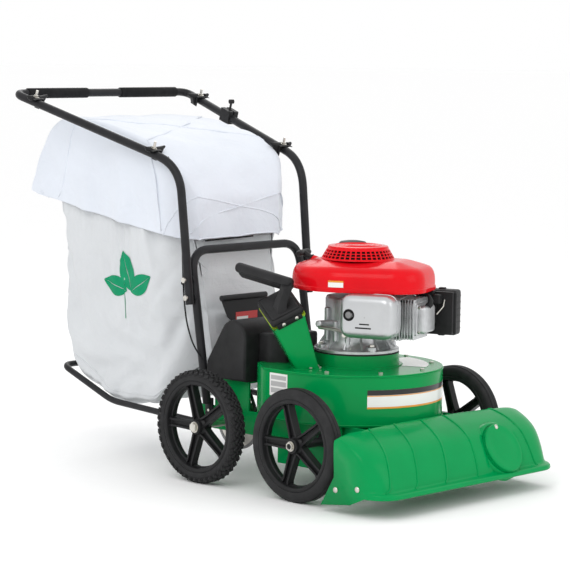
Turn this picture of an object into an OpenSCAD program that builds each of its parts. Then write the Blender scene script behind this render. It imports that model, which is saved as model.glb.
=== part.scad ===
// Walk-behind leaf vacuum mulcher: front nozzle, blower housing with a vertical-shaft
// engine, chipper chute, chain-driven rear axle and a debris bag hung from the handle.
// The front faces -Y and the machine's left side is +X. Every shape is placed from the
// rear axle, and from_axle() then moves it so that the origin is under the middle.

/* [Wheels] */
// Outside diameter of the rear tyres
rear_wheel_d = 330; // [300:5:340]
// Outside diameter of the front tyres
front_wheel_d = 320; // [290:5:325]
// Width of every tyre
tyre_w = 46; // [36:1:50]
// Distance between the outer faces of the left and right tyres
track = 736; // [730:2:760]
// Distance from the rear axle to the front axle
wheelbase = 384; // [380:1:392]

/* [Handle] */
// Diameter of the handle and frame tubes
tube_d = 25.4; // [22:0.2:25.4]
// Height of the grip bar above the ground
handle_h = 1103; // [1080:1:1130]
// Distance of the grip bar behind the rear axle
handle_back = 815; // [780:1:830]

/* [Blower] */
// Radius of the blower housing where its scroll starts
scroll_r = 236; // [226:1:240]
// Height of the housing's underside
housing_z = 203; // [200:1:206]
// Height of the housing's top edge
housing_top_z = 345; // [343:1:347]
// Number of impeller blades
blades = 6; // [4:1:8]

/* [Nozzle] */
// Width of the nozzle
nozzle_w = 770; // [750:2:776]
// Inside diameter of the hose port
port_d = 102; // [90:1:104]

/* [Drive] */
// Teeth on the rear axle's sprocket
axle_teeth = 40; // [36:1:40]
// Teeth on the gearbox's output sprocket
output_teeth = 10; // [9:1:12]

/* [Hidden] */
$fn = 64;

origin_shift = -60;          // rear axle's place in Y
sheet = 3;                   // steel sheet
slip = 0.05;                 // radial running clearance
gap = 0.5;                   // clearance between parts that pass each other
tube_r = tube_d / 2;
green = "#0a8c4b";
black = "#26272a";
zinc = "#c9c9c4";
cast = "#b4b7b8";
red = "#e62a36";

// Wheels
rear_r = rear_wheel_d / 2;
front_r = front_wheel_d / 2;
rear_z = rear_r;
front_z = front_r;
front_y = -wheelbase;
wheel_x = track / 2 - tyre_w / 2;
axle_r = 9.5;
stub_r = 8;
hub_r = 21;
nut_h = 8;

// Side rails
rail_x = 209;                // inner face
rail_t = 6;
rail_z = 135;
rail_front = -430;
rail_back = 130;

// Blower and engine
crank_y = -290;
crank_r = 12.7;
top_z = housing_top_z + 4;   // top face of the housing's top plate
collar_r = 125;
collar_z = 385;
gasket_z = 388;
engine_turn = 20;            // the cylinder points forwards and to the left
shroud_z = 570;
shroud_top = 655;

// Drive
pitch = 12.7;
sprocket_x = -190;
output_y = 8;
output_z = 315;
input_x = -176;
input_y = 8;
belt_z = 366;
engine_pulley_r = 32;
gearbox_pulley_r = 48;
axle_pitch_r = pitch / 2 / sin(180 / axle_teeth);
output_pitch_r = pitch / 2 / sin(180 / output_teeth);

nozzle_corner = 70;          // radius of the lip's front corners in plan
// Nozzle's hose port: a boss square to the sloping face
port_at = [165, -702, 132];
port_tilt = 60;              // turns +Z to the outward direction of the face
port_r = port_d / 2;
port_boss_r = 74;
port_screw = 63;             // distance of the cover's screw from the port's axis

// Chipper chute
chute_base = [-177, -254, top_z];
chute_mouth = [-227, -206, 511];
chute_turn = -37;             // the chute stands turned outwards
chute_lean = [25.5, -27.5, chute_turn];

// Handle route, left half, from the bolted end to the grip bar
leg_x = 230;
grip_x = 366;
upright = [[leg_x + 26, 142, 500], [leg_x + 32, 186, 908], [grip_x, handle_back, handle_h]];
hoop = [[leg_x, 92, 208], [leg_x, 166, 656]];
support = [[240, 96, 150], [240, 500, 170], [240, 728, 256]];

module from_axle() translate([0, origin_shift, 0]) children();
module both_sides() { children(); mirror([1, 0, 0]) children(); }
module engine_place() translate([0, crank_y, 0]) rotate(engine_turn) children();
module along_x(l) rotate([0, 90, 0]) translate([0, 0, -l / 2]) children();

// Tubes and cables: a ring of points carried along a rounded route
function unit(v) = v / norm(v);
function mirrored(p) = [-p[0], p[1], p[2]];
function loop_of(half) = concat(half, [for (i = [len(half) - 1:-1:0]) mirrored(half[i])]);
function bend(a, b, c, t, n) = let (p = b + unit(a - b) * t, q = b + unit(c - b) * t)
    [for (i = [0:n]) let (s = i / n) (1 - s) * (1 - s) * p + 2 * s * (1 - s) * b + s * s * q];
function rounded(p, t, n = 6) = [p[0],
    for (i = [1:len(p) - 2]) each bend(p[i - 1], p[i], p[i + 1], is_list(t) ? t[i] : t, n),
    p[len(p) - 1]];
function heading(p, i) = unit(p[min(i + 1, len(p) - 1)] - p[max(i - 1, 0)]);
function sides_of(p, i, s) = i == len(p) ? [] : let (h = heading(p, i), w = unit(s - (s * h) * h))
    concat([w], sides_of(p, i + 1, w));
module sweep(p, r, n = 20, start = [0.31, 0.52, 0.8]) {
    w = sides_of(p, 0, start);
    points = [for (i = [0:len(p) - 1]) let (v = cross(heading(p, i), w[i]))
        for (k = [0:n - 1]) p[i] + r * (cos(360 * k / n) * w[i] + sin(360 * k / n) * v)];
    walls = [for (i = [0:len(p) - 2], k = [0:n - 1])
        [i * n + k, (i + 1) * n + k, (i + 1) * n + (k + 1) % n, i * n + (k + 1) % n]];
    caps = [[for (k = [0:n - 1]) k], [for (k = [n - 1:-1:0]) (len(p) - 1) * n + k]];
    polyhedron(points, concat(walls, caps), 4);
}

// A solid through a row of outlines with equal counts of points, each seen whole from its last
module loft(rows) {
    n = len(rows[0]);
    m = len(rows);
    walls = [for (i = [0:m - 2], k = [0:n - 1]) let (j = (k + 1) % n)
        each [[i * n + j, (i + 1) * n + j, i * n + k], [(i + 1) * n + j, (i + 1) * n + k, i * n + k]]];
    top = (m - 1) * n;
    caps = [for (k = [0:n - 3]) each [[n - 1, k + 1, k], [top + n - 1, top + k, top + k + 1]]];
    polyhedron([for (row = rows) each row], concat(walls, caps), 4);
}

// Moves each side of an outline t to its right
function inset(p, t) = [for (i = [0:len(p) - 1]) let (n = len(p),
    u = unit(p[i] - p[(i + n - 1) % n]), v = unit(p[(i + 1) % n] - p[i]))
    p[i] + t * ([u[1], -u[0]] + [v[1], -v[0]]) / (1 + u * v)];

// Extrudes a [y, z] outline across the machine, from x = a to x = b
module across(a, b, outline)
    translate([a, 0, 0]) multmatrix([[0, 0, 1, 0], [1, 0, 0, 0], [0, 1, 0, 0]])
        linear_extrude(b - a) polygon(outline);

// ---- Frame -------------------------------------------------------------

module main_frame() from_axle() color(green) difference() {
    union() {
        both_sides() translate([rail_x, rail_front, rail_z])
            cube([rail_t, rail_back - rail_front, housing_z - rail_z]);
        translate([-rail_x - 1, rail_back - 30, rail_z]) cube([2 * rail_x + 2, 25, 12]);
        translate([-rail_x - 1, -150, rail_z]) cube([2 * rail_x + 2, 25, 12]);
        // gearbox shelf on the right rail
        translate([-rail_x - rail_t, -66, housing_z - 1]) cube([rail_t, 140, 88]);
        translate([-rail_x - rail_t, -66, 284]) cube([109, 140, 6]);
        translate([-112, -66, rail_z]) cube([6, 20, 155]);
        translate([-112, -150, rail_z]) cube([6, 104, 12]);
    }
    // chain slot, axle holes and the square window in the rails
    translate([sprocket_x - 9, -40, 280]) cube([18, 96, 14]);
    along_rails(0, rear_z, 20);
    both_sides() translate([rail_x - 1, -340, 160]) cube([rail_t + 2, 24, 24]);
    both_sides() for (p = [[-400, 150], [-360, 190]])
        translate([rail_x, p[0], p[1]]) along_x(30) cylinder(r = 4.2, h = 30);
    both_sides() for (p = [[92, 160], [92, 188], [120, 150]])
        translate([rail_x, p[0], p[1]]) along_x(30) cylinder(r = 4.2, h = 30);
}
module along_rails(y, z, r) translate([0, y, z]) along_x(500) cylinder(r = r, h = 500);

module axle_bearings() from_axle() color(zinc) both_sides() difference() {
    union() {
        translate([rail_x + 3, 0, rear_z]) along_x(26) cylinder(r = 20, h = 26);
        translate([rail_x + rail_t + 2, 0, rear_z]) along_x(4) cylinder(r = 32, h = 4);
    }
    translate([rail_x, 0, rear_z]) along_x(80) cylinder(r = axle_r + slip, h = 80);
}

module front_axle_brackets() from_axle() color(black) both_sides() difference() {
    union() {
        translate([rail_x + rail_t, -412, 138]) cube([6, 64, 62]);
        translate([(rail_x + rail_t + wheel_x - 25) / 2, front_y, front_z])
            along_x(wheel_x - 25 - rail_x - rail_t)
                cylinder(r = 13, h = wheel_x - 25 - rail_x - rail_t);
        translate([(wheel_x + rail_x + rail_t + 26) / 2 + 4, front_y, front_z])
            along_x(wheel_x - rail_x - rail_t + 26)
                cylinder(r = stub_r, h = wheel_x - rail_x - rail_t + 26);
    }
    for (p = [[-400, 150], [-360, 190]])
        translate([rail_x, p[0], p[1]]) along_x(60) cylinder(r = 4.2, h = 60);
}

module hex_nut(x, y, z, r, hole) both_sides() translate([x + nut_h / 2, y, z]) along_x(nut_h)
    difference() {
        union() {
            cylinder(r = r * 0.86, h = nut_h, $fn = 6);
            cylinder(r = r, h = 2);
        }
        translate([0, 0, -1]) cylinder(r = hole, h = nut_h + 2);
    }
module front_axle_nuts() from_axle() color(zinc)
    hex_nut(wheel_x + 25.5, front_y, front_z, 14, stub_r);

// ---- Wheels ------------------------------------------------------------

module tyre(r) rotate([0, 90, 0]) rotate_extrude($fn = 96) {
    inner = r * 0.8;
    h = tyre_w / 2;
    difference() {
        union() {
            translate([inner, -h + 4]) square([r - inner - 6, tyre_w - 8]);
            translate([inner + 8, -h]) square([r - inner - 20, tyre_w]);
            translate([r - 14, -h + 12]) square([14, tyre_w - 24]);
            for (s = [-1, 1]) translate([r - 12, s * (h - 12)]) circle(r = 12, $fn = 40);
            for (s = [-1, 1]) translate([inner + 8, s * (h - 8)]) circle(r = 8, $fn = 32);
        }
    }
}
module rim(r, bore) rotate([0, 90, 0]) {
    outer = r * 0.8;
    difference() {
        union() {
            rotate_extrude($fn = 96) {
                translate([outer - 9, -tyre_w / 2 + 4]) square([9, tyre_w - 8]);
                translate([outer - 15, -6]) square([8, 12]);
            }
            translate([0, 0, -25]) cylinder(r = hub_r, h = 50);
            for (k = [0:4]) rotate(72 * k + 90) {
                translate([hub_r - 3, -12, -3]) cube([outer - hub_r - 5, 24, 6]);
                for (s = [-1, 1]) translate([hub_r - 3, s * 10 - 3, -13])
                    cube([outer - hub_r - 5, 6, 26]);
            }
        }
        translate([0, 0, -30]) cylinder(r = bore, h = 60);
    }
}
module rear_rim(side) from_axle() color(black)
    translate([side * wheel_x, 0, rear_z]) rim(rear_r, axle_r);
module rear_tyre(side) from_axle() color(black)
    translate([side * wheel_x, 0, rear_z]) tyre(rear_r);
module front_rim(side) from_axle() color(black)
    translate([side * wheel_x, front_y, front_z]) rim(front_r, stub_r + slip);
module front_tyre(side) from_axle() color(black)
    translate([side * wheel_x, front_y, front_z]) tyre(front_r);
module rear_rim_left() rear_rim(1);
module rear_rim_right() rear_rim(-1);
module rear_tyre_left() rear_tyre(1);
module rear_tyre_right() rear_tyre(-1);
module front_rim_left() front_rim(1);
module front_rim_right() front_rim(-1);
module front_tyre_left() front_tyre(1);
module front_tyre_right() front_tyre(-1);

module rear_axle() from_axle() color(zinc) translate([0, 0, rear_z])
    along_x(2 * wheel_x + 68) cylinder(r = axle_r, h = 2 * wheel_x + 68);
module rear_axle_nuts() from_axle() color(zinc)
    hex_nut(wheel_x + 25, 0, rear_z, 16, axle_r);

// ---- Chain drive -------------------------------------------------------

module toothed(teeth, r, t, bore) linear_extrude(t, center = true) difference() {
    polygon([for (k = [0:teeth - 1], p = [[-0.3, -3.6], [-0.12, 3.4], [0.12, 3.4], [0.3, -3.6]])
        let (a = 360 * (k + p[0]) / teeth) (r + p[1]) * [cos(a), sin(a)]]);
    circle(r = bore);
}
module axle_sprocket() from_axle() color(zinc) translate([sprocket_x, 0, rear_z])
    rotate([0, 90, 0]) difference() {
        union() {
            toothed(axle_teeth, axle_pitch_r, 3, axle_r);
            translate([0, 0, 1.5]) difference() {
                cylinder(r = 20, h = 14);
                translate([0, 0, -1]) cylinder(r = axle_r, h = 20);
            }
        }
        for (k = [0:4]) rotate(72 * k) translate([52, 0, -5]) cylinder(r = 14, h = 10);
    }
module output_sprocket() from_axle() color(zinc)
    translate([sprocket_x, output_y, output_z]) rotate([0, 90, 0]) {
        toothed(output_teeth, output_pitch_r, 3, 7);
        translate([0, 0, -4]) cylinder(r = 8, h = 48);
    }
module chain_loop(grow) hull() {
    translate([-rear_z, 0]) circle(r = axle_pitch_r + grow, $fn = 72);
    translate([-output_z, output_y]) circle(r = output_pitch_r + grow, $fn = 32);
}
module drive_chain() from_axle() color("#8d8f92") translate([sprocket_x, 0, 0])
    rotate([0, 90, 0]) {
        for (s = [-2.9, 1.9]) translate([0, 0, s]) linear_extrude(1) difference() {
            chain_loop(4);
            chain_loop(-4);
        }
        for (s = [-1, 1], k = [0.3, 0.5, 0.7]) let (
            d = norm([output_z - rear_z, output_y]),
            lean = asin((axle_pitch_r - output_pitch_r) / d),
            turn = atan2(output_y, output_z - rear_z),
            r = axle_pitch_r + (output_pitch_r - axle_pitch_r) * k)
            translate([-rear_z - (output_z - rear_z) * k, output_y * k, 0])
                rotate(180 - turn + s * (90 - lean)) translate([r, 0, -2.9])
                    cylinder(r = 3.5, h = 5.8, $fn = 24);
    }

module gearbox() from_axle() color(cast) difference() {
    union() {
        translate([-186, -22, 290]) cube([70, 60, 52]);
        translate([input_x, input_y, 341]) cylinder(r = 16, h = 9);
        translate([-184, output_y, output_z]) along_x(8) cylinder(r = 14, h = 8);
    }
    translate([input_x, input_y, 318]) cylinder(r = 8 + slip, h = 40);
    translate([-170, output_y, output_z]) along_x(50) cylinder(r = 8 + slip, h = 50);
}
module pulley(r, h) difference() {
    rotate_extrude($fn = 96) polygon([[0, 0], [r, 0], [r, 2], [r - 6, 5.5], [r - 6, h - 5.5],
        [r, h - 2], [r, h], [0, h]]);
}
module gearbox_pulley() from_axle() color(cast) translate([input_x, input_y, 0]) {
    translate([0, 0, belt_z - 8]) pulley(gearbox_pulley_r, 16);
    translate([0, 0, 330]) cylinder(r = 8, h = 50);
}
module engine_pulley() from_axle() color(cast) translate([0, crank_y, belt_z - 8]) difference() {
    pulley(engine_pulley_r, 16);
    translate([0, 0, -1]) cylinder(r = crank_r, h = 20);
}
module belt_loop(grow) hull() {
    translate([0, crank_y]) circle(r = engine_pulley_r - 6 + grow, $fn = 48);
    translate([input_x, input_y]) circle(r = gearbox_pulley_r - 6 + grow, $fn = 64);
}
module drive_belt() from_axle() color(black) translate([0, 0, belt_z - 2])
    linear_extrude(4) difference() {
        belt_loop(4.5);
        belt_loop(gap);
    }

module drive_guard() from_axle() color(black) {
    difference() {
        union() {
            across(-240, -101, guard_outline(0));
            belt_cover(0, 83);
        }
        across(-237, -104, guard_outline(sheet));
        belt_cover(sheet, 80);
        translate([-130, -162, top_z - 1]) cube([100, 10, 40]);
    }
}
module belt_cover(t, h) translate([0, 0, top_z - (t > 0 ? 1 : 0)]) linear_extrude(h)
    polygon([[-186 + t, -72 + t], [-186 + t, -118], [-150 + t, -158 + t], [-20 - t, -158 + t],
        [-20 - t, -94 - t], [-56 - t, -94 - t], [-56 - t, -76 - t], [-72 - t, -76 - t],
        [-72 - t, -10 - t], [-102 - 2 * t, -10 - t], [-102 - 2 * t, -72 + t]]);
function guard_outline(t) = [[-74 + t, 290 - 3 * t], [-74 + t, 400], for (k = [0:8])
    let (a = 180 - 18.5 * k) [-22 + (52 - t) * cos(a), 416 + (52 - t) * sin(a)],
    [87 - t, 340], [87 - t, 290 - 3 * t]];

// ---- Blower housing ----------------------------------------------------

function scroll(t) = [
    for (a = [60:-10:-180]) let (r = scroll_r + 34 * (60 - a) / 240 - t) [r * cos(a), crank_y + r * sin(a)],
    [-270 + t, -176 - t], [-206 + t, -90 - t], [60, -90 - t]];

module housing() from_axle() color(green) difference() {
    translate([0, 0, housing_z]) linear_extrude(housing_top_z - housing_z) polygon(scroll(0));
    translate([0, 0, housing_z + sheet]) linear_extrude(200) polygon(scroll(sheet));
    translate([0, crank_y, housing_z - 1]) cylinder(r = 120, h = 10);
    translate([-66, -100, 212]) cube([112, 20, 124]);
}
module housing_top() from_axle() color(green) difference() {
    translate([0, 0, housing_top_z]) linear_extrude(4) polygon(scroll(0));
    translate([0, crank_y, housing_top_z - 1]) cylinder(r = 40, h = 10);
    chute_place() translate([-30, -32, -5]) cube([60, 64, 10]);
    for (a = rim_bolts) translate([rim_bolt_r * cos(a), crank_y + rim_bolt_r * sin(a), 340])
        cylinder(r = 3.2, h = 20);
}
rim_bolts = [-160, -120, -80, -40, 0, 40];
rim_bolt_r = 222;

module engine_collar() from_axle() color(green) translate([0, crank_y, 0]) difference() {
    union() {
        translate([0, 0, top_z]) cylinder(r = collar_r, h = collar_z - top_z, $fn = 128);
        translate([0, 0, top_z]) cylinder(r = collar_r + 8, h = 3, $fn = 128);
    }
    translate([0, 0, top_z - 1]) cylinder(r = collar_r - 5, h = collar_z - top_z - 4);
    translate([0, 0, top_z]) cylinder(r = 30, h = 60);
    // the belt leaves through the back
    rotate(121) translate([60, -50, top_z + 4]) cube([100, 100, 26]);
    engine_bolt_places() translate([0, 0, top_z]) cylinder(r = 4.2, h = 60);
}
module engine_bolt_places() for (k = [0:3]) rotate(engine_turn + 45 + 90 * k)
    translate([110, 0, 0]) children();
module flange_gasket() from_axle() color(black) translate([0, crank_y, collar_z]) difference() {
    cylinder(r = 123, h = gasket_z - collar_z, $fn = 128);
    translate([0, 0, -1]) cylinder(r = 40, h = 10);
    engine_bolt_places() translate([0, 0, -1]) cylinder(r = 4.2, h = 10);
}

// ---- Engine ------------------------------------------------------------

module crankcase() from_axle() color(cast) engine_place() difference() {
    union() {
        translate([0, 0, gasket_z]) cylinder(r = 124, h = 11, $fn = 128);
        for (k = [0:3]) rotate(45 + 90 * k) translate([110, 0, gasket_z]) cylinder(r = 14, h = 22);
        translate([0, 0, 398]) cylinder(r1 = 112, r2 = 92, h = 22, $fn = 96);
        translate([0, 0, 419]) cylinder(r = 92, h = 127, $fn = 96);
        for (k = [-3:2]) rotate(180 + 30 * k + 30) translate([80, -3, 399]) cube([30, 6, 90]);
        translate([-48, -160, 436]) cube([96, 90, 112]);
        for (k = [0:5]) translate([-60, -154 + 11 * k, 430]) cube([120, 4, 124]);
    }
    translate([0, 0, 380]) cylinder(r = crank_r + slip, h = 40);
    translate([0, 0, 536]) cylinder(r = crank_r + slip, h = 40);
    translate([0, 0, 410]) cylinder(r = 80, h = 126);
    translate([0, -100, 492]) rotate([90, 0, 0]) cylinder(r = 32, h = 80);
    translate([0, -60, 492]) rotate([90, 0, 0]) cylinder(r = 32, h = 60);
    rotate(-engine_turn) engine_bolt_places() translate([0, 0, 380]) cylinder(r = 4.2, h = 40);
}
module cylinder_head() from_axle() color(cast) engine_place() {
    translate([-52, -200, 440]) cube([104, 40, 104]);
    for (k = [0:3]) translate([-58, -196 + 10 * k, 434]) cube([116, 4, 116]);
    translate([-40, -226, 452]) cube([80, 27, 76]);
    translate([52, -184, 492]) along_x(24) cylinder(r = 15, h = 24);
    translate([0, -214, 522]) rotate([35, 0, 0]) cylinder(r = 9, h = 40);
}
module rounded_box(x0, x1, y0, y1, z0, z1, r) hull()
    for (x = [x0 + r, x1 - r], y = [y0 + r, y1 - r], z = [z0 + r, z1 - r])
        translate([x, y, z]) sphere(r = r, $fn = 16);
module muffler() from_axle() color("#77736d") engine_place() {
    translate([-176, -165, 462]) cube([58, 136, 92]);
    translate([-184, -50, 512]) along_x(14) cylinder(r = 9, h = 16);
}
module muffler_guard() from_axle() color(zinc) engine_place() difference() {
    rounded_box(-188, -96, -178, -18, 445, 569, 22);
    rounded_box(-186, -98, -176, -20, 447, 567, 20);
    translate([-110, -200, 440]) cube([40, 220, 200]);
    translate([-188, -50, 512]) along_x(20) cylinder(r = 13, h = 20);
    for (z = [478, 488]) translate([-192, -110, z]) cube([10, 34, 4]);
}
module carburetor() from_axle() color("#3a3b3e") engine_place() {
    translate([64, -214, 470]) cube([50, 44, 60]);
    translate([90, -192, 452]) cylinder(r = 18, h = 19);
    translate([84, -262, 438]) cube([18, 92, 124]);
}
module air_cleaner_cover() from_axle() color(black) engine_place() difference() {
    translate([102, -266, 434]) cube([50, 100, 132]);
    translate([101, -262, 438]) cube([46, 92, 124]);
}
module shroud_plan(shrink) hull() {
    translate([0, 26]) circle(r = 168 - shrink, $fn = 72);
    translate([-36, -128]) circle(r = 96 - shrink, $fn = 48);
    translate([46, -118]) circle(r = 100 - shrink, $fn = 48);
}
module shroud_solid(shrink) hull() {
    translate([0, 0, shroud_z - 1]) linear_extrude(44 - shrink / 2) shroud_plan(shrink);
    translate([0, 0, shroud_z]) linear_extrude(66 - shrink) shroud_plan(12 + shrink);
    translate([0, 0, shroud_z]) linear_extrude(shroud_top - shroud_z - shrink)
        shroud_plan(78 + shrink);
}
module engine_shroud() from_axle() color(red) engine_place() difference() {
    union() {
        shroud_solid(0);
        starter_place() translate([0, 0, -34]) cylinder(r = 12, h = 34);
    }
    translate([0, 0, -0.01]) shroud_solid(3);
    translate([0, 0, 500]) cylinder(r = 84, h = 200);
    translate([0, 0, shroud_z - 40]) cylinder(r = 400, h = 39.5);
    translate([112, 62, 604]) cylinder(r = 33, h = 100);
}
module recoil_cover() from_axle() color(red) engine_place() difference() {
    union() {
        translate([0, 0, shroud_top]) cylinder(r1 = 107, r2 = 88, h = 32, $fn = 96);
        translate([0, 0, shroud_top + 31.9]) cylinder(r = 88, h = 6, $fn = 96);
    }
    translate([0, 0, shroud_top - 1]) cylinder(r1 = 103, r2 = 84, h = 35, $fn = 96);
    for (k = [0:23]) rotate(15 * k + 7.5) translate([78, -6, shroud_top + 7]) cube([40, 12, 18]);
    translate([112, 62, shroud_top - 1]) cylinder(r = 46, h = 60);
}
module fuel_tank() from_axle() color(black) engine_place() {
    translate([88, -26, 560]) cube([56, 108, 44]);
    translate([112, 62, 603]) cylinder(r = 27, h = 72);
}
module fuel_cap() from_axle() color(black) engine_place() translate([112, 62, 0]) {
    difference() {
        union() {
            translate([0, 0, 664]) cylinder(r = 42, h = 24);
            translate([0, 0, 688]) cylinder(r1 = 42, r2 = 34, h = 8);
            for (k = [0:17]) rotate(20 * k) translate([41, -2, 666]) cube([3, 4, 20]);
        }
        translate([0, 0, 660]) cylinder(r = 27 + slip, h = 15.5);
    }
}
module starter_grip() from_axle() color(black) engine_place()
    starter_place() {
        translate([0, 0, 34]) rotate([0, 90, 0]) translate([0, 0, -42]) cylinder(r = 10, h = 84);
        cylinder(r = 9, h = 28);
        cylinder(r = 12, h = 6);
    }
module starter_place() translate([65, 171, 640]) rotate([-60, 0, 0]) children();
module crankshaft() from_axle() color(zinc) translate([0, crank_y, 0]) {
    translate([0, 0, 228]) cylinder(r = crank_r, h = 390);
    translate([0, 0, 440]) cylinder(r = 40, h = 14);
    translate([0, 0, 500]) cylinder(r = 40, h = 14);
}
module flywheel() from_axle() color("#8c8f92") translate([0, crank_y, 0]) difference() {
    union() {
        translate([0, 0, 588]) cylinder(r = 78, h = 20);
        for (k = [0:15]) rotate(22.5 * k) translate([44, -2, 607]) cube([32, 4, 22]);
    }
    translate([0, 0, 580]) cylinder(r = crank_r, h = 60);
}
module impeller() from_axle() color("#5c6063") translate([0, crank_y, 0]) difference() {
    union() {
        translate([0, 0, 226]) cylinder(r = 30, h = 100);
        translate([0, 0, 320]) cylinder(r = 196, h = 6, $fn = 96);
        for (k = [0:blades - 1]) rotate(360 / blades * k) translate([24, -3, 226]) cube([168, 6, 95]);
    }
    translate([0, 0, 220]) cylinder(r = crank_r, h = 120);
}

// ---- Nozzle ------------------------------------------------------------

// Outline of the hood at x, taken in by t; it rises towards the middle and its lip turns back
// round the corners
function hood(x, t) = let (s = 1 - 0.7 * pow(2 * x / nozzle_w, 2), open = t > 0 ? 60 : 0,
    over = max(0, abs(x) - nozzle_w / 2 + nozzle_corner),
    b = nozzle_corner - sqrt(max(0, nozzle_corner * nozzle_corner - over * over))) [
    [x, -513 - t + 0.57 * open, 18 - open], [x, -690 + t + b, 40 - open],
    [x, -742 + t + b, 56 - open], [x, -746 + t + b, 66], [x, -738 + t + b, 76 - t],
    [x, -718 - 4 * s + t + 0.9 * b, 84 + 4 * s - t],
    [x, -668 - 14 * s + t + 0.4 * b, 160 + 14 * s - t],
    [x, -600 - 6 * s + t / 2 + 0.1 * b, 206 + 12 * s - t],
    [x, -566 - t, 213 + 14 * s - t], [x, -556 - t, 194 + 10 * s - t], [x, -560 - t, 100]];
hood_at = [0, 0.25, 0.5, 0.7, 0.82, 0.88, 0.94, 0.98, 1];
hood_rows = concat([for (k = [8:-1:1]) -hood_at[k]], hood_at);
module nozzle() from_axle() color("#0d9a57") difference() {
    union() {
        loft([for (k = hood_rows) hood(k * nozzle_w / 2, 0)]);
        translate([-200, -558, 64]) cube([400, 388, housing_z - 64]);
        port_place() translate([0, 0, -24]) cylinder(r = port_boss_r + 8, h = 26);
    }
    difference() {
        loft([for (k = hood_rows) hood(k * (nozzle_w / 2 - 4), 4)]);
        port_place() translate([0, 0, -24]) cylinder(r = port_boss_r + 8, h = 26);
    }
    translate([-196, -575, 68]) cube([392, 401, housing_z - 72]);
    translate([0, crank_y, 150]) cylinder(r = 120, h = 100);
    port_place() translate([0, 0, -60]) cylinder(r = port_boss_r, h = 120);
    both_sides() for (p = nozzle_bolt_at) translate([nozzle_w / 2, p[0], p[1]])
        along_x(20) cylinder(r = 3.2, h = 20);
}
nozzle_bolt_at = [[-567, 66], [-646, 78]];
module nozzle_bolts() from_axle() color(zinc) both_sides() for (p = nozzle_bolt_at)
    translate([nozzle_w / 2, p[0], p[1]]) {
        translate([-2, 0, 0]) along_x(12) cylinder(r = 3, h = 12);
        translate([2, 0, 0]) along_x(4) cylinder(r = 7, h = 4);
        translate([-6.5, 0, 0]) along_x(5) cylinder(r = 6.5, h = 5, $fn = 6);
    }
module port_place() translate(port_at) rotate([port_tilt, 0, 0]) children();
module hose_port() from_axle() color("#0d9a57") port_place() difference() {
    translate([0, 0, -34]) cylinder(r = port_boss_r, h = 40);
    translate([0, 0, -40]) cylinder(r = port_r, h = 60);
    translate([0, port_screw, -10]) cylinder(r = 2.5 + slip, h = 40);
}
module port_cover() from_axle() color("#0d9a57") port_place() {
    translate([0, 0, 6]) cylinder(r = port_boss_r - 2, h = 5);
    translate([0, 0, 11]) cylinder(r1 = port_boss_r - 2, r2 = port_boss_r - 12, h = 3);
    translate([0, port_screw, -8]) cylinder(r = 2.5, h = 20);
    translate([0, port_screw, 11]) cylinder(r = 6, h = 6);
}

// ---- Chipper chute -----------------------------------------------------

module mouth_place() translate(chute_mouth) rotate(chute_lean) children();
module chute_place() translate(chute_base) rotate(chute_turn) children();
module chute_block(t) hull() {
    chute_place() translate([t - 34, t - 36, -t]) cube([68 - 2 * t, 72 - 2 * t, 1]);
    mouth_place() translate([-50 + t, -62 + t, -1 + t]) cube([100 - 2 * t, 124 - 2 * t, 1]);
}
module chipper_chute() from_axle() color(green) difference() {
    chute_block(0);
    chute_block(sheet);
}
module chute_trim() from_axle() color("#b9c936") mouth_place() difference() {
    translate([-52, -64, 0]) cube([104, 128, 4]);
    translate([-46, -58, -1]) cube([92, 116, 6]);
}
module chipper_plug() from_axle() color(black) mouth_place() {
    translate([-54, -66, 4]) cube([108, 132, 22]);
    translate([-45, -57, 0.5]) cube([90, 114, 4]);
    hull() {
        translate([-18, -46, 25]) cube([26, 44, 1]);
        translate([22, -18, 66]) cube([30, 28, 1]);
    }
    translate([48, 8, 75]) rotate([-90, 0, 27]) translate([0, 0, -20]) cylinder(r = 15, h = 225);
}

// ---- Discharge and bag -------------------------------------------------

module discharge_duct() from_axle() color(black) difference() {
    across(-70, 50, [[-90, 206], [-90, 338], [110, 436], [110, 330], [0, 262], [-60, 206]]);
    across(-67, 47, [[-91, 210], [-91, 334], [111, 432], [111, 334], [0, 266], [-62, 210]]);
}
module bag_mouth_plate() from_axle() color(black) difference() {
    union() {
        multmatrix([[1, 0, 0, 0], [0, 0, -1, 113], [0, 1, 0, 0]]) linear_extrude(3)
            polygon([[-78, 326], [58, 326], [58, 440], [34, 508], [-156, 508], [-122, 440],
                [-78, 420]]);
        translate([-61, 112, 513]) along_x(190) cylinder(r = 9, h = 190);
    }
    translate([-67, 105, 334]) cube([114, 20, 98]);
}
bag_side = [[136, 330], [196, 700], [202, 815], [262, 900], [430, 980], [738, 1004], [742, 743],
    [731, 461], [706, 292], [497, 190], [307, 190]];
cloth = 2;
module bag() from_axle() color("#eef0f2") difference() {
    union() {
        across(-242, 242, bag_side);
        across(-67, 47, [[116, 334], [116, 432], [160, 432], [145, 334]]);
    }
    across(-242 + cloth, 242 - cloth, inset(bag_side, cloth));
    across(-67 + cloth, 47 - cloth, [[110, 336], [110, 430], [164, 430], [149, 336]]);
}
cover_side = [[205, 830], [258, 915], [430, 994], [745, 1018], [866, 798], [537, 740], [290, 700],
    [212, 760]];
cover_strip = [[189, 690], [197, 820], [258, 915], [430, 994], [745, 1018], [866, 798], [862, 797],
    [742, 1014], [431, 990], [261, 911], [200.5, 819], [192.5, 690]];
module bag_cover() from_axle() color("#e3e8f6") {
    both_sides() across(246, 250, cover_side);
    across(-245, 245, cover_strip);
    both_sides() across(244, 250, [[212, 832], [258, 903], [258, 915], [205, 832]]);
}
module bag_support() from_axle() color(black) difference() {
    sweep(rounded(loop_of(support), 34), tube_r * 0.75, 16);
    both_sides() translate([240, 120, 150]) along_x(60) cylinder(r = 4.2, h = 60);
}

// ---- Handle ------------------------------------------------------------

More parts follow.
